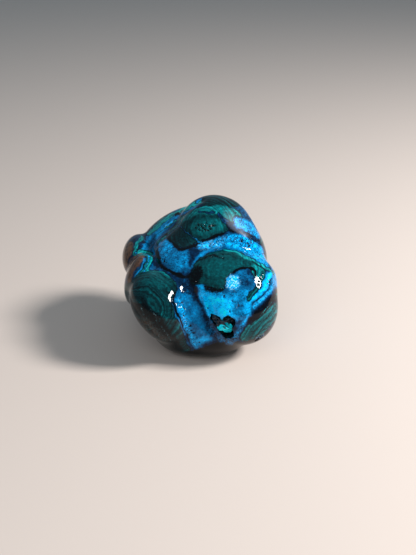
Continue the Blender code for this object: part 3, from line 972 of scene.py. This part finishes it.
# %% Paint the right front lobe
CAP_RINGS = rings_under((222, 268), depth=1.5)
SIDE_STRIPES = stripes_along((279, 292), (271, 304), (258, 315), (247, 325), (236, 339))
RIGHT_LOBE = {
    "azure": patch(
        (194, 284), (205, 285), (213.8, 290), (226.2, 291), (242.5, 288), (250, 291), (252, 300),
        (248, 310), (244, 318.5), (233.8, 321), (222.5, 318.5), (212.5, 318), (205, 316.2), (201, 308.8),
        (197, 297.5), soft=2.6, blue=0.62, malachite=0, black=0, specks=0.5,
    ),
    "azure's glow": patch(
        (203, 291), (212, 294), (224, 297), (230, 300), (233, 308), (231, 319), (218, 320), (208, 319),
        (203, 304), soft=3.4, blue=0.86,
    ),
    "azure's shade": patch(
        (237, 290), (248, 291), (251, 300), (247, 311), (241, 318), (235, 314), (236, 303),
        soft=3.6, blue=0.5,
    ),
    # Painted shade: dark navy down the valley, where the right lobe's flank turns away from the lamp.
    "navy valley shade": stroke(
        (190, 281), (194, 289), (199.5, 300), (204, 312), (208, 321), (212, 329), width=3.6, soft=2.0,
        blue=0.12, black=0.3, malachite=0, specks=0.8,
    ),
    "beside the vug": patch(
        (206, 319), (213, 320), (214, 327), (219, 333), (226, 337), (222, 344), (212, 341), (207, 330),
        soft=2.2, blue=0.3, malachite=0, black=0.3, specks=0.8,
    ),
    "under the vug": patch(
        (220, 338), (227.5, 336.5), (236, 333), (240, 337), (236, 343), (230, 346.2), (222.5, 343),
        soft=1.8, blue=0.42, malachite=0, black=0.1, specks=0.9,
    ),
    "right of the vug": stroke(
        (250, 297.5), (248.8, 310), (246.2, 320), (241.2, 326.2), (235, 335), width=4, soft=1.8,
        blue=0.6, malachite=0, black=0, specks=0.9,
    ),
    "green cap": patch(
        (195, 265), (200, 257.5), (207.5, 253.8), (217.5, 251.2), (226.2, 250.6), (236, 253), (244, 257.5),
        (252, 262.5), (257, 266.2), (247.5, 268.8), (241.2, 270), (233.8, 271.2), (228.8, 276.2),
        (226.2, 282.5), (225, 290), (220, 291.2), (215, 288.8), (210, 285), (203.8, 283.8), (196.2, 285),
        (191, 283), (192, 272.5), malachite=1, tone=0.4,
        black=0, specks=0.45, band=CAP_RINGS, banding=0.3,
    ),
    "cap's light": patch(
        (206, 262), (216, 258), (228, 258), (240, 262), (244, 267), (232, 270), (226, 277), (222, 286),
        (214, 284), (207, 276), (203, 268), soft=3.6, tone=0.52,
    ),
    "ragged left": patch(
        (192.5, 269), (198, 263.5), (203, 265), (206, 271.2), (202.5, 280), (197.5, 285.5), (191, 284),
        (190.5, 276), soft=2.8, black=0.72, specks=1,
    ),
    "ragged foot": patch(
        (203, 283.8), (209, 283.5), (216.2, 286.2), (224, 289), (221, 292.8), (211.2, 292.2), (204, 289),
        soft=2.6, black=0.72, specks=1,
    ),
    "ragged top": stroke(
        (197, 262), (206, 256.5), (216, 256), (224, 258), width=2.4, soft=1.6, black=0.7, specks=0.8,
    ),
    "teal edge": stroke(
        (224, 249.5), (241.2, 255), (255, 262.5), (266.2, 267.5), (273.5, 274), width=2.6,
        malachite=1, tone=0.8, black=0, band=CAP_RINGS,
    ),
    "teal slope": patch(
        (252, 264), (262, 268), (268, 273), (263, 278), (257, 281), (253, 276), (250, 270),
        soft=1.6, malachite=0.9, tone=0.74, black=0, specks=0.3, band=CAP_RINGS,
    ),
    "black arc": stroke(
        (233.8, 271.9), (241.2, 268.8), (248.8, 268.1), (255, 270.5), (256, 276), width=2.6, black=0.95,
    ),
    "deep blue": patch(
        (226, 278), (232, 272.8), (240, 271.8), (248, 273), (254, 277), (256.5, 284), (251.2, 289),
        (242.5, 292), (233.8, 292), (227, 289), soft=2.0, blue=0.36, malachite=0, black=0.06, specks=0.4,
    ),
    # Bright blue with a scatter of painted glints.
    "painted sparkle": patch(
        (226.4, 280), (230, 275), (236, 274), (240, 278), (239, 285), (233, 289), (227.6, 287),
        soft=2.2, blue=0.74, pale=1, malachite=0, black=0,
    ),
    "turquoise": stroke(
        (269, 275), (267, 283), (261, 291), (254, 297.5), (249, 303), (246, 311), width=6.4, soft=2.2,
        blue=0.66, malachite=0, black=0, specks=0.5,
    ),
    "turquoise core": stroke(
        (270, 274), (267.5, 282), (262.5, 289.5), (256, 295.5), (252, 299.5), width=2.6, soft=1.8, blue=0.86,
    ),
    "outer turquoise": stroke(
        (274, 279), (272.5, 287), (267.5, 294.5), (261, 301), (254.5, 306.5), width=3.4, soft=1.2,
        blue=0.66, malachite=0, black=0, specks=0.8, pale=0.1,
    ),
    "dark line": stroke(
        (270.4, 279), (269.4, 286), (264.4, 293.4), (259.4, 298.6), (253.8, 302.4), width=1.3, soft=0.7,
        black=0.75, malachite=0.4, tone=0.3,
    ),
    "speckled edge": stroke(
        (262.5, 272.5), (261.5, 280), (257.5, 287.5), (252, 293), (249, 300), width=4.2, soft=1.8,
        malachite=0.9, tone=0.42, black=0.25, specks=1, band=SIDE_STRIPES,
    ),
    "navy band": patch(
        (278, 286), (275, 292), (267.5, 300.5), (260, 306.5), (252.5, 312.5), (247, 321.5), (249, 326),
        (260, 318), (268.8, 311.5), (276, 303), (281, 294), malachite=0, blue=0.06, black=0.6, specks=0.6,
    ),
    "pale line": stroke(
        (277.5, 294), (272.6, 302), (266, 309.5), (259.5, 315.5), width=0.7, soft=0.6, malachite=1,
        black=0, tone=0.95,
    ),
    "banded side": patch(
        (284, 296), (286, 309), (282, 322.5), (272, 334), (258, 340), (243, 343), (238, 337),
        (244.5, 327.5), (253.8, 320.5), (265, 312.5), (275, 303), malachite=1, tone=0.56, black=0,
        band=SIDE_STRIPES, banding=1.3,
    ),
    # Dark along the bottom edge, with brown that is a painted reflection of a warm floor.
    "side's dark foot with reflected brown": stroke(
        (240, 345), (254, 341), (266, 334.5), (275, 325), (281, 314), width=3.4, soft=1.6,
        black=0.6, umber=0.5, malachite=0,
    ),
    # Small blue crystals by the notch, with painted glints on them.
    "side's crystals and glints": stroke((257, 338), (262, 335.5), width=2.4, soft=1.2, black=0, blue=0.6, pale=0.9),
}
SIDE_LINES = {
    "near line": stroke((280, 301), (270, 314), (256, 324), (244, 333), width=1.1, soft=0.7, black=0.8),
    "middle line": stroke((282, 307), (273, 318), (260, 327), (247, 334), width=1.0, soft=0.7, black=0.7),
    "far line": stroke((283, 315), (274, 324.5), (263, 331), (248, 337), width=1.3, soft=0.8, black=0.7),
}
paint.touches(RIGHT_LOBE)
paint.touches(SIDE_LINES)

# %% [markdown]
# ## The vug's wall, the pits and the base
#
# Three places were never polished. The wall of the vug is rough, and painted dark navy to black as
# painted shade inside the hollow. The pits are painted black and dull. The base is ground flat and
# left satin, so the stone stands without rocking.

# %% Rough wall, dull pits and satin base
WALL_DEPTH = 0.25  # the wall is all that lies deeper than this under the polished surface
WALL_RELIEF = 0.16
BASE_BAND = (0.12, 0.02)  # the heights between which the base's satin fades in
BASE_SATIN = 0.35


def mark_unpolished(points, painter):
    """A layer that is 1 where the surface is rough and 0 where it is polished."""
    wall = smooth_step(WALL_DEPTH / 2, WALL_DEPTH, -polished_distance(points))
    pits = pit_closeness(points, PITS)
    wall *= 1 - pit_closeness(points, [(centre, radius * PIT_SURROUND) for centre, radius in PITS])
    base = smooth_step(*BASE_BAND, points[:, 2])
    painter.layers["rough"] = np.clip(np.maximum(wall, pits) + BASE_SATIN * base, 0, 1)
    everywhere = np.arange(len(points))
    painter.lay(everywhere, wall, {"malachite": 0, "specks": 0.8, "pale": 0, "umber": 0})
    # Painted shade: the wall goes dark navy to black, mottled by noise.
    shade = noise_at(points, 0.6)
    painter.lay(everywhere, wall, {"blue": 0.1 + 0.3 * shade, "black": 0.85 - 0.5 * shade})
    # The pits are painted black.
    painter.lay(everywhere, smooth_step(0.3, 0.8, pits), {"black": 0.85, "pale": 0})
    return wall


def roughen(bm, points, wall):
    """Pushes the vug's wall in and out, and keeps the base flat."""
    relief = noise_at(points, 0.8) + 0.6 * noise_at(points, 2.1, 4) + 0.3 * noise_at(points, 4.5, 8)
    push_out(bm, WALL_RELIEF * relief * wall)
    pushed = coordinates(bm)
    pushed[:, 2] = np.maximum(pushed[:, 2], 0)
    place(bm, pushed)


vug_wall = mark_unpolished(stone_points, paint)
roughen(stone, stone_points, vug_wall)
print("the vug's wall has", int((vug_wall > 0.5).sum()), "points")


# %% Finish the stone's mesh
def show(bm, name, layers):
    """Makes a named object in metres, with its layers as attributes on the points."""
    bmesh.ops.translate(bm, vec=STAND_OFFSET, verts=bm.verts)
    bmesh.ops.scale(bm, vec=(MM, MM, MM), verts=bm.verts)
    bmesh.ops.recalc_face_normals(bm, faces=bm.faces)
    mesh = bpy.data.meshes.new(name)
    bm.to_mesh(mesh)
    bm.free()
    mesh.shade_smooth()
    for layer, values in layers.items():
        attribute = mesh.attributes.new(layer, "FLOAT", "POINT")
        attribute.data.foreach_set("value", values.astype(np.float32))
    made = bpy.data.objects.new(name, mesh)
    bpy.context.scene.collection.objects.link(made)
    return made


stone_look = show(stone, "stone_look", paint.layers)
print("stone:", len(stone_look.data.polygons), "faces")

# %% [markdown]
# ## The polished stone's material
#
# A lapidary polishes chrysocolla and malachite until they mirror a lamp, so the shader is one smooth
# dielectric. The painted numbers choose the mineral, and in a few places they also carry painted
# reflections, glints and shade. Noise rags the borders, breaks the blue into clouds and dark veinlets,
# and turns the growth distances into bands of uneven width. All of it reads the place on the stone in
# millimetres, so nothing slides when the camera moves.


# %% A short way to write shader nodes
class Shader:
    """Adds nodes to a material's tree; a socket may take a value or another node's output."""

    def __init__(self, name):
        material = bpy.data.materials.new(name)
        material.use_nodes = True
        self.material = material
        self.tree = material.node_tree
        self.surface = self.tree.nodes["Principled BSDF"]
        place_node = self.tree.nodes.new("ShaderNodeTexCoord")
        scale = (1 / MM, 1 / MM, 1 / MM)
        self.mm = self.node("ShaderNodeMapping", Vector=place_node.outputs["Object"], Scale=scale)

    def node(self, kind, output=0, settings=(), **inputs):
        made = self.tree.nodes.new(kind)
        for name, value in dict(settings).items():
            setattr(made, name, value)
        for name, value in inputs.items():
            self.feed(made.inputs[int(name[1:]) if name[1:].isdigit() else name.replace("_", " ")], value)
        return made.outputs[output]

    def feed(self, socket, value):
        if isinstance(value, bpy.types.NodeSocket):
            self.tree.links.new(value, socket)
        else:
            socket.default_value = value

    def layer(self, name):
        return self.node("ShaderNodeAttribute", "Fac", {"attribute_name": name})

    def math(self, operation, first, second=0.0, third=0.0):
        return self.node("ShaderNodeMath", 0, {"operation": operation}, _0=first, _1=second, _2=third)

    def noise(self, scale, detail=3.0, roughness=0.55):
        """Noise between 0 and 1 in waves per millimetre."""
        return self.node(
            "ShaderNodeTexNoise", "Fac", Vector=self.mm, Scale=scale, Detail=detail, Roughness=roughness
        )

    def bands(self, distance, scale, detail=3.0):
        """Noise along one axis, which makes bands of uneven width."""
        settings = {"noise_dimensions": "1D"}
        return self.node("ShaderNodeTexNoise", "Fac", settings, W=distance, Scale=scale, Detail=detail)

    def cells(self, scale):
        """Distance to the nearest of many scattered points."""
        return self.node("ShaderNodeTexVoronoi", "Distance", Vector=self.mm, Scale=scale)

    def step(self, value, low, high):
        """0 below low and 1 above high, with a soft change between them."""
        settings = {"interpolation_type": "SMOOTHSTEP"}
        return self.node("ShaderNodeMapRange", 0, settings, Value=value, From_Min=low, From_Max=high)

    def swing(self, value, amount):
        """Turns 0 to 1 into minus to plus the amount."""
        return self.math("MULTIPLY_ADD", value, 2 * amount, -amount)

    def ramp(self, value, stops):
        made = self.tree.nodes.new("ShaderNodeValToRGB")
        elements = made.color_ramp.elements
        for place_on_ramp, colour in stops[1:-1]:
            elements.new(place_on_ramp).color = (*colour, 1)
        elements[0].color = (*stops[0][1], 1)
        elements[-1].color = (*stops[-1][1], 1)
        self.feed(made.inputs["Fac"], value)
        return made.outputs["Color"]

    def mix(self, share, first, second):
        made = self.tree.nodes.new("ShaderNodeMix")
        made.data_type = "RGBA"
        for socket, value in ((0, share), (6, first), (7, second)):
            self.feed(made.inputs[socket], value)
        return made.outputs[2]

    def bump(self, height, depth):
        """depth is in millimetres."""
        normal = self.node("ShaderNodeBump", Height=height, Distance=depth * MM)
        self.feed(self.surface.inputs["Normal"], normal)


# %% The minerals' colours
# Each ramp runs from its mineral's darkest colour to its lightest
CHRYSOCOLLA = (
    (0.00, (0.0004, 0.0016, 0.005)),
    (0.22, (0.0004, 0.0150, 0.048)),
    (0.45, (0.0005, 0.1100, 0.265)),
    (0.62, (0.0005, 0.2350, 0.520)),
    (0.78, (0.0005, 0.4200, 0.900)),
    (0.90, (0.0005, 0.5300, 1.000)),
    (1.00, (0.0010, 0.6800, 0.860)),
)
MALACHITE = (
    (0.00, (0.0003, 0.0020, 0.003)),
    (0.30, (0.0004, 0.0170, 0.021)),
    (0.55, (0.0005, 0.0560, 0.064)),
    (0.80, (0.0010, 0.1500, 0.168)),
    (1.00, (0.0060, 0.3300, 0.340)),
)
NEAR_BLACK = (0.0006, 0.0010, 0.0018, 1)
# Pale flecks, and painted glints where the pale layer is high.
PALE_FLECK_AND_GLINT = (0.45, 0.85, 0.95, 1)
# Brown of the umber layer: partly brown stone, partly a painted reflection of warm surroundings.
UMBER_AND_REFLECTION = (0.125, 0.062, 0.034, 1)
DARK_UMBER_AND_REFLECTION = (0.022, 0.014, 0.011, 1)

# %% Blue, green and black in the material
BLUE_CLOUDS = 0.42
SMALL_CLOUDS = 0.22
VEINLET_WIDTH = 0.09
VEINLET_DARKNESS = 0.4
RING_BEND = 0.7  # how far the rings bend, in millimetres
RING_WAVER = 0.2  # the same for their small bends
WIDE_RINGS = 1.3  # waves of the ring noise per millimetre
FINE_RINGS = 4.2
TONE_CLOUDS = 0.38
SPOTS_PER_MM = 2.2
SPOT_SIZE = 0.42


def blue_colour(shader, specks):
    """Chrysocolla: clouds of deep and pale blue, with dark veinlets."""
    level = shader.math("ADD", shader.layer("blue"), shader.swing(shader.noise(0.5, 6, 0.62), BLUE_CLOUDS))
    level = shader.math("ADD", level, shader.swing(shader.noise(1.7, 5, 0.65), SMALL_CLOUDS))
    off_vein = shader.math("ABSOLUTE", shader.swing(shader.noise(0.9, 6, 0.62), 1.0))
    inside_vein = shader.math("SUBTRACT", shader.math("MULTIPLY", specks, VEINLET_WIDTH), off_vein)
    level = shader.math("MULTIPLY_ADD", shader.step(inside_vein, 0.0, 0.05), -VEINLET_DARKNESS, level)
    return shader.ramp(level, CHRYSOCOLLA)


def green_colour(shader):
    """Malachite: growth bands of uneven width, along the painted distance."""
    waver = shader.swing(shader.noise(1.5), RING_WAVER)
    bend = shader.math("ADD", shader.swing(shader.noise(0.35), RING_BEND), waver)
    distance = shader.math("ADD", shader.layer("band"), bend)
    fine = shader.swing(shader.bands(distance, FINE_RINGS, 1.0), 0.22)
    rings = shader.math("ADD", shader.swing(shader.bands(distance, WIDE_RINGS), 0.55), fine)
    tone = shader.math("MULTIPLY_ADD", rings, shader.layer("banding"), shader.layer("tone"))
    tone = shader.math("ADD", tone, shader.swing(shader.noise(1.2, 5, 0.65), TONE_CLOUDS))
    return shader.ramp(tone, MALACHITE)


def spots(shader, specks):
    """Small black specks, in flocks."""
    size = shader.math("MULTIPLY", specks, shader.step(shader.noise(0.9), 0.46, 0.66))
    off_spot = shader.math("MULTIPLY", shader.cells(SPOTS_PER_MM), -1.0)
    return shader.step(shader.math("MULTIPLY_ADD", size, SPOT_SIZE, off_spot), 0.0, 0.06)


# %% The polished stone
BORDER_WANDER = 0.5
RIM_DARKNESS = 0.75  # of the dark line between green and blue
GRAIN_ROUGHNESS = 0.12
SPOT_ROUGHNESS = 0.2
SATIN_ROUGHNESS = 0.42
WALL_ROUGHNESS = 0.5
STONE_IOR = 1.5
STONE_SPECULAR = 0.22
STONE_BUMP = 0.04  # in millimetres


def stone_colour(shader, specks, spotted):
    border = shader.swing(shader.noise(1.9, 6, 0.66), BORDER_WANDER)
    green = shader.math("ADD", shader.layer("malachite"), border)
    colour = shader.mix(shader.step(green, 0.42, 0.58), blue_colour(shader, specks), green_colour(shader))
    rim = shader.math("SUBTRACT", shader.step(green, 0.16, 0.42), shader.step(green, 0.56, 0.86))
    colour = shader.mix(shader.math("MULTIPLY", rim, RIM_DARKNESS), colour, NEAR_BLACK)
    clouds = shader.step(shader.noise(0.7, 6, 0.72), 0.36, 0.56)
    colour = shader.mix(shader.layer("umber"), colour, shader.mix(clouds, DARK_UMBER_AND_REFLECTION, UMBER_AND_REFLECTION))
    black = shader.math("ADD", shader.layer("black"), border)
    colour = shader.mix(shader.step(black, 0.34, 0.70), colour, NEAR_BLACK)
    colour = shader.mix(spotted, colour, NEAR_BLACK)
    # Pale flecks and painted glints, as the pale layer sets them.
    flecks_and_glints = shader.step(shader.noise(2.4, 5, 0.7), 0.53, 0.60)
    return shader.mix(shader.math("MULTIPLY", flecks_and_glints, shader.layer("pale")), colour, PALE_FLECK_AND_GLINT)


def stone_roughness(shader, spotted, rough, grain):
    fine = shader.math("MULTIPLY", grain, GRAIN_ROUGHNESS)
    shine = shader.math("MULTIPLY_ADD", rough, WALL_ROUGHNESS, fine)
    shine = shader.math("MULTIPLY_ADD", shader.layer("satin"), SATIN_ROUGHNESS, shine)
    return shader.math("MULTIPLY_ADD", spotted, SPOT_ROUGHNESS, shine)


def stone_material():
    shader = Shader("polished_malachite_chrysocolla")
    specks = shader.layer("specks")
    spotted = spots(shader, specks)
    rough = shader.layer("rough")
    grain = shader.noise(3.2, 3, 0.6)
    surface = shader.surface.inputs
    shader.feed(surface["Base Color"], stone_colour(shader, specks, spotted))
    shader.feed(surface["Roughness"], stone_roughness(shader, spotted, rough, grain))
    surface["IOR"].default_value = STONE_IOR
    surface["Specular IOR Level"].default_value = STONE_SPECULAR
    relief = shader.math("MULTIPLY_ADD", spotted, -1.0, shader.math("MULTIPLY", shader.noise(0.5), 0.6))
    shader.bump(shader.math("MULTIPLY_ADD", rough, grain, relief), STONE_BUMP)
    return shader.material


stone_look.data.materials.append(stone_material())
print("stone's material:", len(stone_look.data.materials[0].node_tree.nodes), "nodes")

# %% [markdown]
# ## The crust in the vug
#
# Chrysocolla grew on in the open vug as round nodules, small bubbles, a lattice of thin strands, and
# one bright wedge. They are all one crust. Its body, with the nodules and the wedge, is drawn onto a
# distance field, the strands and bubbles are put on it as rods and balls, and one skin goes round all.

# %% The crust's body
CRUST_CENTRE = (6.4, -17.0, 13.6)
CRUST_FACE_DEPTH = 2.3  # from the polished surface down to the crust's face
CRUST_GAP = 0.3  # between the crust and the wall
CRUST_BLEND = 0.3
WEDGE_BLEND = 0.2
# Centre and radius of each round growth
NODULES = (
    ((4.4, -17.6, 15.3), 0.9),
    ((6.5, -18.0, 15.6), 0.8),
    ((5.3, -18.2, 13.7), 0.75),
    ((8.6, -18.0, 12.0), 0.8),
    ((6.7, -17.9, 11.7), 0.85),
    ((8.7, -18.1, 14.9), 0.7),
)
WEDGE_CENTRE = (6.9, -19.1, 12.9)
# The direction that each flat face looks in, and its distance from the wedge's middle
WEDGE_FACETS = (
    ((0.35, -0.35, 0.87), 0.6),
    ((-0.75, -0.35, 0.56), 1.1),
    ((0.10, -0.75, -0.66), 0.75),
    ((0.92, -0.30, -0.26), 1.9),
    ((-0.90, -0.35, -0.24), 1.6),
    ((0.0, 0.90, -0.44), 2.4),
)


def ball_distance(points, ball):
    centre, radius = ball
    return np.linalg.norm(points - np.array(centre), axis=1) - radius


def wedge_distance(points):
    """The bright wedge: what lies inside all its flat faces."""
    distance = np.full(len(points), -100.0)
    for direction, reach in WEDGE_FACETS:
        normal = np.array(direction) / np.linalg.norm(direction)
        distance = np.maximum(distance, (points - np.array(WEDGE_CENTRE)) @ normal - reach)
    return distance


def crust_distance(points):
    """What the vug holds below the crust's face, with the nodules and the wedge on it."""
    crust = polished_distance(points) + CRUST_FACE_DEPTH
    for ball in NODULES:
        crust = smooth_union(crust, ball_distance(points, ball), CRUST_BLEND)
    crust = smooth_union(crust, wedge_distance(points), WEDGE_BLEND)
    return smooth_overlap(crust, joined_distance(points, HOLLOWS) + CRUST_GAP, CRUST_BLEND)


print("the wedge's middle lies", -crust_distance(np.array([WEDGE_CENTRE])).round(1)[0], "mm in the crust")

# %% Strands and bubbles
STRAND_RADIUS = 0.24
STRAND_DEPTH = 0.9
STRAND_TAPER = 0.8
STRANDS = {
    "left": ((213, 318.5), (216.5, 324), (219, 330.5)),
    "middle": ((218.5, 318), (221.5, 322.5), (224, 327)),
    "right": ((229, 318.5), (224, 322.5), (219, 324.5)),
    "short": ((222, 322.5), (228, 327.5)),
    "upper": ((214.5, 321), (220, 320.5), (226, 321.5)),
}
BUBBLES = 160
BUBBLE_RADII = (0.14, 0.36)
BUBBLE_BAND = 0.8  # bubbles sit no deeper than this under the crust's face
BUBBLE_SEED = 7
WEDGE_MARGIN = 0.3  # and no nearer to the wedge than this


def add_rod(bm, start, end, radius):
    start = Vector(start)
    run = Vector(end) - start
    made = bmesh.ops.create_cone(
        bm,
        cap_ends=True,
        segments=10,
        radius1=radius,
        radius2=radius * STRAND_TAPER,
        depth=run.length + radius,
    )["verts"]
    bmesh.ops.transform(bm, matrix=run.to_track_quat("Z", "Y").to_matrix().to_4x4(), verts=made)
    bmesh.ops.translate(bm, vec=start + run / 2, verts=made)


def add_bubbles(bm):
    """Small bubbles on the crust's open face, clear of the wedge."""
    chance = np.random.default_rng(BUBBLE_SEED)
    points = coordinates(bm)
    open_face = polished_distance(points) > -CRUST_FACE_DEPTH - BUBBLE_BAND
    places = points[open_face & (wedge_distance(points) > WEDGE_MARGIN)]
    for place_on in places[chance.integers(0, len(places), BUBBLES)]:
        made = bmesh.ops.create_icosphere(bm, subdivisions=2, radius=chance.uniform(*BUBBLE_RADII))["verts"]
        bmesh.ops.translate(bm, vec=place_on, verts=made)


# %% Build the crust
CRUST_REACH = 6.0  # no point of the crust is farther from its centre
CRUST_DETAIL = 6
CRUST_VOXEL = 0.09


def draw_back(centre, points, field, halvings=24):
    """Moves each point, which lies outside, toward the centre to where its ray enters the solid."""
    centre = np.array(centre)
    near = np.zeros(len(points))
    far = np.ones(len(points))
    for _ in range(halvings):
        middle = (near + far) / 2
        inside = field(centre + (points - centre) * middle[:, None]) < 0
        near = np.where(inside, middle, near)
        far = np.where(inside, far, middle)
    return centre + (points - centre) * near[:, None]


def crust_mesh():
    bm = bmesh.new()
    bmesh.ops.create_icosphere(bm, subdivisions=CRUST_DETAIL, radius=CRUST_REACH)
    bmesh.ops.translate(bm, vec=CRUST_CENTRE, verts=bm.verts)
    place(bm, draw_back(CRUST_CENTRE, coordinates(bm), crust_distance))
    add_bubbles(bm)
    for path in STRANDS.values():
        joints = [under_pixel(pixel, STRAND_DEPTH) for pixel in path]
        for start, end in zip(joints[:-1], joints[1:]):
            add_rod(bm, start, end, STRAND_RADIUS)
    return one_skin(bm, CRUST_VOXEL)


def roughen_crust(bm):
    """Fine bubbly relief, which leaves the wedge's faces almost flat."""
    free = smooth_step(0.1, 0.5, wedge_distance(coordinates(bm)))
    smooth(bm, [vertex for vertex, share in zip(bm.verts, free) if share > 0.2])
    points = coordinates(bm)
    relief = 0.10 * noise_at(points, 1.6) + 0.06 * noise_at(points, 3.4, 6)
    push_out(bm, relief * (0.1 + 0.9 * free))


crust = crust_mesh()
roughen_crust(crust)
crust_points = coordinates(crust)
crust_layers = {
    "wedge": smooth_step(0.3, 0.12, wedge_distance(crust_points)),
    "depth": -polished_distance(crust_points),
}
crust_look = show(crust, "crust_look", crust_layers)
print("crust:", len(crust_look.data.polygons), "faces")

# %% [markdown]
# ## The crust's material
#
# Nobody polished the crust, so it is dull. Its colour carries painted shade: deep in the vug it is
# almost black, and it gets bluer toward the light. The depth under the polished surface was kept on
# the mesh for this. The wedge's flat faces are the brightest place in the vug: partly the wedge's own
# cyan, and partly painted light where the vug's rim shades it.

# %% The crust's material
# From black to blue; the depth picks the colour as painted shade.
CRUST_COLOURS = (
    (0.00, (0.0004, 0.0008, 0.0016)),
    (0.45, (0.0004, 0.0030, 0.0080)),
    (0.72, (0.0006, 0.0450, 0.0850)),
    (1.00, (0.0100, 0.4200, 0.6200)),
)
# The wedge's cyan, raised as bright as a colour goes: partly its own colour, partly painted light where the
# rim shades it.
LIT_WEDGE_COLOUR = (0.005, 0.84, 1.0, 1)
LIT_DEPTHS = (2.1, 1.0)  # painted shade: black below the first depth, bluest above the second
CRUST_ROUGHNESS = 0.42
CRUST_IOR = 1.55
CRUST_BUMP = 0.05


def crust_material():
    shader = Shader("chrysocolla_crust")
    mottled = shader.noise(1.4, detail=5, roughness=0.65)
    # Painted shade: darker the deeper the crust lies under the polished surface.
    shallow = shader.step(shader.layer("depth"), *LIT_DEPTHS)
    level = shader.math("MULTIPLY_ADD", shallow, 0.5, shader.swing(mottled, 0.45))
    colour = shader.ramp(level, CRUST_COLOURS)
    clear = shader.step(shader.noise(1.1, 4, 0.6), 0.30, 0.52)
    lit = shader.math("MULTIPLY", shader.layer("wedge"), clear)
    colour = shader.mix(lit, colour, LIT_WEDGE_COLOUR)
    shader.feed(shader.surface.inputs["Base Color"], colour)
    shader.surface.inputs["Roughness"].default_value = CRUST_ROUGHNESS
    shader.surface.inputs["IOR"].default_value = CRUST_IOR
    shader.bump(shader.noise(5.0, detail=4), CRUST_BUMP)
    return shader.material


crust_look.data.materials.append(crust_material())
print("crust's material:", len(crust_look.data.materials[0].node_tree.nodes), "nodes")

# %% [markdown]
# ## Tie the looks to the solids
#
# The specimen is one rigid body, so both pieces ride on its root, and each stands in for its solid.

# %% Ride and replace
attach(stone_look, "root")
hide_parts("stone")
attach(crust_look, "root")
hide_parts("vug_crust")
print("riding on the root:", stone_look.name, "and", crust_look.name)

# %% [markdown]
# ## Floor
#
# The floor is plain and pale, so the look is the stone's and not the room's.

# %% Floor
FLOOR_SIZE = 3.0
FLOOR_COLOUR = (0.52, 0.44, 0.39, 1)
FLOOR_ROUGHNESS = 0.7


def make_floor():
    bm = bmesh.new()
    bmesh.ops.create_grid(bm, x_segments=1, y_segments=1, size=FLOOR_SIZE / 2)
    mesh = bpy.data.meshes.new("floor")
    bm.to_mesh(mesh)
    bm.free()
    material = bpy.data.materials.new("pale_floor")
    material.use_nodes = True
    surface = material.node_tree.nodes["Principled BSDF"]
    surface.inputs["Base Color"].default_value = FLOOR_COLOUR
    surface.inputs["Roughness"].default_value = FLOOR_ROUGHNESS
    mesh.materials.append(material)
    floor = bpy.data.objects.new("floor", mesh)
    bpy.context.scene.collection.objects.link(floor)
    return floor


floor = make_floor()
print("floor:", FLOOR_SIZE, "m wide")

# %% [markdown]
# ## Light
#
# The photo's light comes from the right, so one small key lamp stands there. A polished stone mirrors
# it as the bright spots on the two front lobes. A wide fill lamp at the front lifts the colours. The
# stone doesn't mirror the fill, because a second spot would show where the photo has none. A faint
# blue sky lights the rest.

# %% Light
KEY_DISTANCE = 0.5
KEY_AZIMUTH = math.radians(8)
KEY_ELEVATION = math.radians(39)
KEY_SIZE = 0.11
KEY_POWER = 4.6
FILL_DISTANCE = 0.6
FILL_AZIMUTH = math.radians(105)
FILL_ELEVATION = math.radians(35)
FILL_SIZE = 0.5
FILL_POWER = 1.7
LAMPS_AIM = Vector((0, 0, 0.02))
SKY = (0.6, 0.82, 1.0, 1)
SKY_STRENGTH = 0.3


def add_area(name, azimuth, elevation, distance, size, power, mirrored=True):
    """A square lamp that looks at the stone; azimuth is from +X toward the camera."""
    level = math.cos(elevation)
    direction = Vector((level * math.cos(azimuth), -level * math.sin(azimuth), math.sin(elevation)))
    lamp = bpy.data.lights.new(name, "AREA")
    lamp.shape = "SQUARE"
    lamp.size = size
    lamp.energy = power
    made = bpy.data.objects.new(name, lamp)
    made.location = direction * distance + LAMPS_AIM
    made.rotation_euler = direction.to_track_quat("Z", "Y").to_euler()
    made.visible_glossy = mirrored
    bpy.context.scene.collection.objects.link(made)


add_area("key", KEY_AZIMUTH, KEY_ELEVATION, KEY_DISTANCE, KEY_SIZE, KEY_POWER)
add_area("fill", FILL_AZIMUTH, FILL_ELEVATION, FILL_DISTANCE, FILL_SIZE, FILL_POWER, mirrored=False)
world = bpy.data.worlds.new("soft_room")
world.use_nodes = True
background = world.node_tree.nodes["Background"]
background.inputs["Color"].default_value = SKY
background.inputs["Strength"].default_value = SKY_STRENGTH
bpy.context.scene.world = world
print("lamps: key", KEY_POWER, "W, fill", FILL_POWER, "W")

# %% [markdown]
# ## Camera
#
# The camera is the same one that carried the pixels onto the stone, so the patches land in the render
# where the photo shows them.

# %% Camera
SENSOR_SIZE = 36.0
NEAREST = 0.01
FARTHEST = 10


def add_camera():
    camera = bpy.data.cameras.new("camera")
    camera.sensor_width = SENSOR_SIZE
    camera.lens = SENSOR_SIZE * FOCAL_PIXELS / FRAME_H
    camera.clip_start = NEAREST
    camera.clip_end = FARTHEST
    made = bpy.data.objects.new("camera", camera)
    made.location = Vector((EYE + STAND_OFFSET) * MM)
    made.rotation_euler = Vector(FORWARD).to_track_quat("-Z", "Y").to_euler()
    bpy.context.scene.collection.objects.link(made)
    bpy.context.scene.camera = made
    return camera


print("lens:", round(add_camera().lens, 1))
bpy.context.scene.view_settings.view_transform = "Standard"
